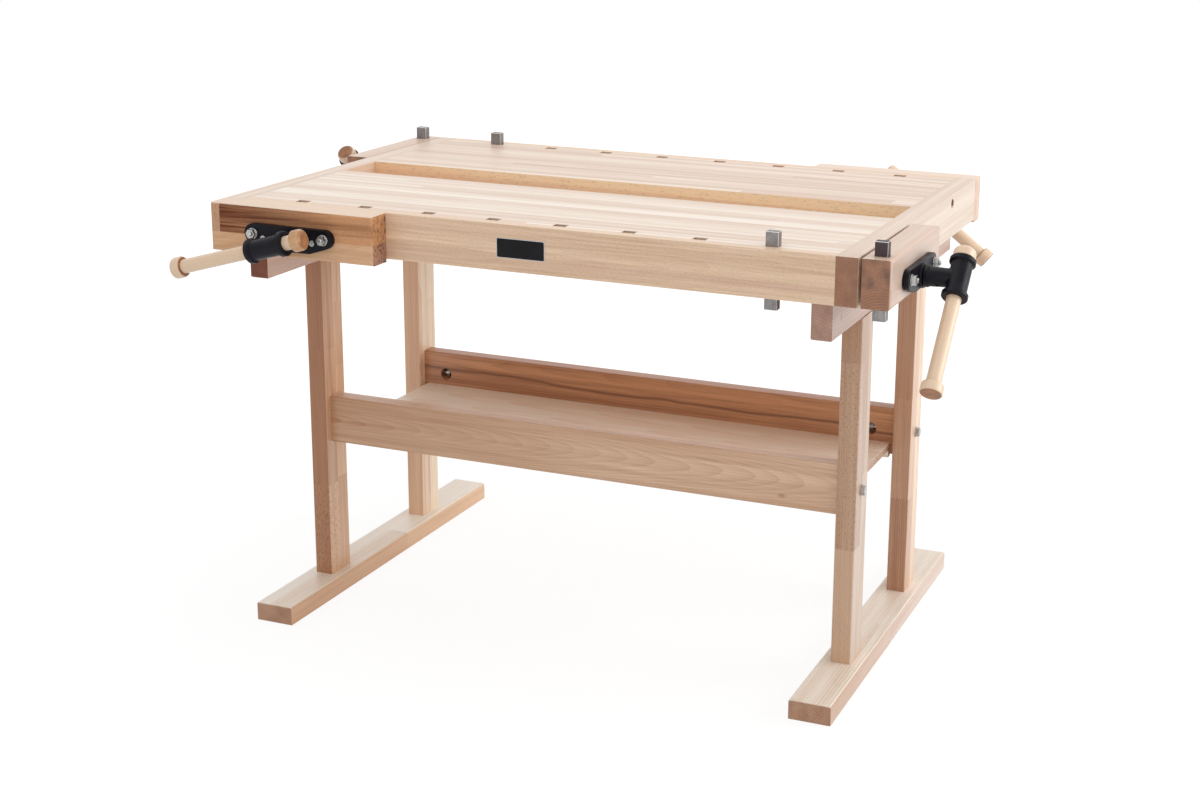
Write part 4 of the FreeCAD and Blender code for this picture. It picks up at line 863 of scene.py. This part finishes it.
def buildRailBolts():
    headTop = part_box("rail_bolts")[1].x
    seat = headTop - railBolt["headHigh"]
    legOut = seat - railBolt["washerThick"]
    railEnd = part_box("rail_front")[1].x
    nutAt = railEnd - railBolt["nutIn"] + railBolt["nutHigh"] / 2
    tip = nutAt - railBolt["nutHigh"] - railBolt["pastNut"]
    shape = bmesh.new()
    for name in ("rail_front", "rail_rear"):
        low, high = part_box(name)
        for end in (-1, 1):
            before = set(shape.verts)
            addRod(shape, end * legOut, end * seat, railBolt["washer"], 40, washerEdge)
            addNut(shape, end * seat, railBolt["head"], railBolt["headHigh"], end)
            addRod(shape, end * tip, end * seat, railBolt["radius"], 24)
            addNut(shape, end * nutAt, railBolt["head"], railBolt["nutHigh"], -end)
            moveTo(shape, before, (0, (low.y + high.y) / 2, (low.z + high.z) / 2))
    piece = addPiece("rail_bolts_and_nuts", shape, "bench", zincPlate)
    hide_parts("rail_bolts")


buildRailBolts()
print("rail bolts made")


# White studio: the floor bounces light and glows white only where it is looked at
studio = dict(floorSize=16.0, floorColour=0.80, seenColour=0.18, nearGlow=0.87, farGlow=1.0,
              fadeFrom=0.9, fadeTo=2.6, worldLight=0.62)
lamps = {
    "overhead": dict(at=(-0.2, 0.2, 3.4), aim=(-0.1, 0, 0.8), size=(3.0, 2.2), power=20),
    "rightSide": dict(at=(5.2, 1.4, 2.2), aim=(0.0, 0, 0.4), size=(3.6, 3.0), power=140),
    "frontFill": dict(at=(0.6, -3.6, 1.4), aim=(0, 0, 0.6), size=(2.6, 2.0), power=13),
}


def whereLooked(tree):
    path = addNode(tree, "ShaderNodeLightPath")
    seen = calc(tree, "MAXIMUM", path.outputs["Is Camera Ray"], path.outputs["Is Glossy Ray"])
    return calc(tree, "MAXIMUM", seen, path.outputs["Is Transmission Ray"])


def buildFloor():
    shape = bmesh.new()
    bmesh.ops.create_grid(shape, x_segments=1, y_segments=1, size=studio["floorSize"] / 2)
    mesh = bpy.data.meshes.new("studioFloor")
    shape.to_mesh(mesh)
    shape.free()
    floor = bpy.data.objects.new("studioFloor", mesh)
    bpy.context.scene.collection.objects.link(floor)
    material = bpy.data.materials.new("studioFloor")
    material.use_nodes = True
    tree = material.node_tree
    tree.nodes.clear()
    looked = whereLooked(tree)
    coords = addNode(tree, "ShaderNodeTexCoord").outputs["Object"]
    away = vectorMath(tree, "LENGTH", coords)["Value"]
    glow = remap(tree, away, studio["fadeFrom"], studio["fadeTo"], studio["nearGlow"], studio["farGlow"])
    tone = between(tree, looked, studio["floorColour"], studio["seenColour"])
    paint = addNode(tree, "ShaderNodeBsdfDiffuse", {"Color": joined(tree, tone, tone, tone)})
    light = addNode(tree, "ShaderNodeEmission", {"Strength": calc(tree, "MULTIPLY", looked, glow)})
    both = addNode(tree, "ShaderNodeAddShader", {0: paint.outputs[0], 1: light.outputs[0]})
    addNode(tree, "ShaderNodeOutputMaterial", {"Surface": both.outputs[0]})
    mesh.materials.append(material)


def buildWorld():
    world = bpy.data.worlds.new("studioWorld")
    bpy.context.scene.world = world
    world.use_nodes = True
    tree = world.node_tree
    tree.nodes.clear()
    light = addNode(tree, "ShaderNodeBackground", {"Color": (1, 1, 1, 1), "Strength": studio["worldLight"]})
    white = addNode(tree, "ShaderNodeBackground", {"Color": (1, 1, 1, 1), "Strength": 1.0})
    pick = addNode(tree, "ShaderNodeMixShader", {
        0: whereLooked(tree), 1: light.outputs[0], 2: white.outputs[0]})
    addNode(tree, "ShaderNodeOutputWorld", {"Surface": pick.outputs[0]})


def buildLamps():
    for name, use in lamps.items():
        lamp = bpy.data.lights.new(name, "AREA")
        lamp.shape = "RECTANGLE"
        lamp.size, lamp.size_y = use["size"]
        lamp.energy = use["power"]
        item = bpy.data.objects.new(name, lamp)
        bpy.context.scene.collection.objects.link(item)
        item.location = use["at"]
        item.rotation_euler = (Vector(use["aim"]) - Vector(use["at"])).to_track_quat("-Z", "Y").to_euler()


# The view, with angles in radians and the lens in pixels of a 1200 by 800 frame
view = dict(at=(1.549712, -3.515634, 1.597655), yaw=-0.370898, pitch=-0.250290, roll=0.0148225,
            lensPixels=1876.559, middle=(96.414, -78.466), frameWide=1200.0, sensor=36.0)


def buildCamera():
    data = bpy.data.cameras.new("mainCamera")
    data.sensor_width = view["sensor"]
    data.lens = view["lensPixels"] / view["frameWide"] * view["sensor"]
    data.shift_x = -view["middle"][0] / view["frameWide"]
    data.shift_y = view["middle"][1] / view["frameWide"]
    camera = bpy.data.objects.new("mainCamera", data)
    bpy.context.scene.collection.objects.link(camera)
    yaw, pitch, roll = view["yaw"], view["pitch"], view["roll"]
    ahead = Vector((math.sin(yaw) * math.cos(pitch), math.cos(yaw) * math.cos(pitch), math.sin(pitch)))
    level = Vector((math.cos(yaw), -math.sin(yaw), 0))
    over = level.cross(ahead)
    right = level * math.cos(roll) + over * math.sin(roll)
    top = over * math.cos(roll) - level * math.sin(roll)
    camera.matrix_world = Matrix.Translation(view["at"]) @ Matrix((right, top, -ahead)).transposed().to_4x4()
    bpy.context.scene.camera = camera


buildFloor()
buildWorld()
buildLamps()
buildCamera()
bpy.context.scene.view_settings.view_transform = "Standard"
print("studio set")
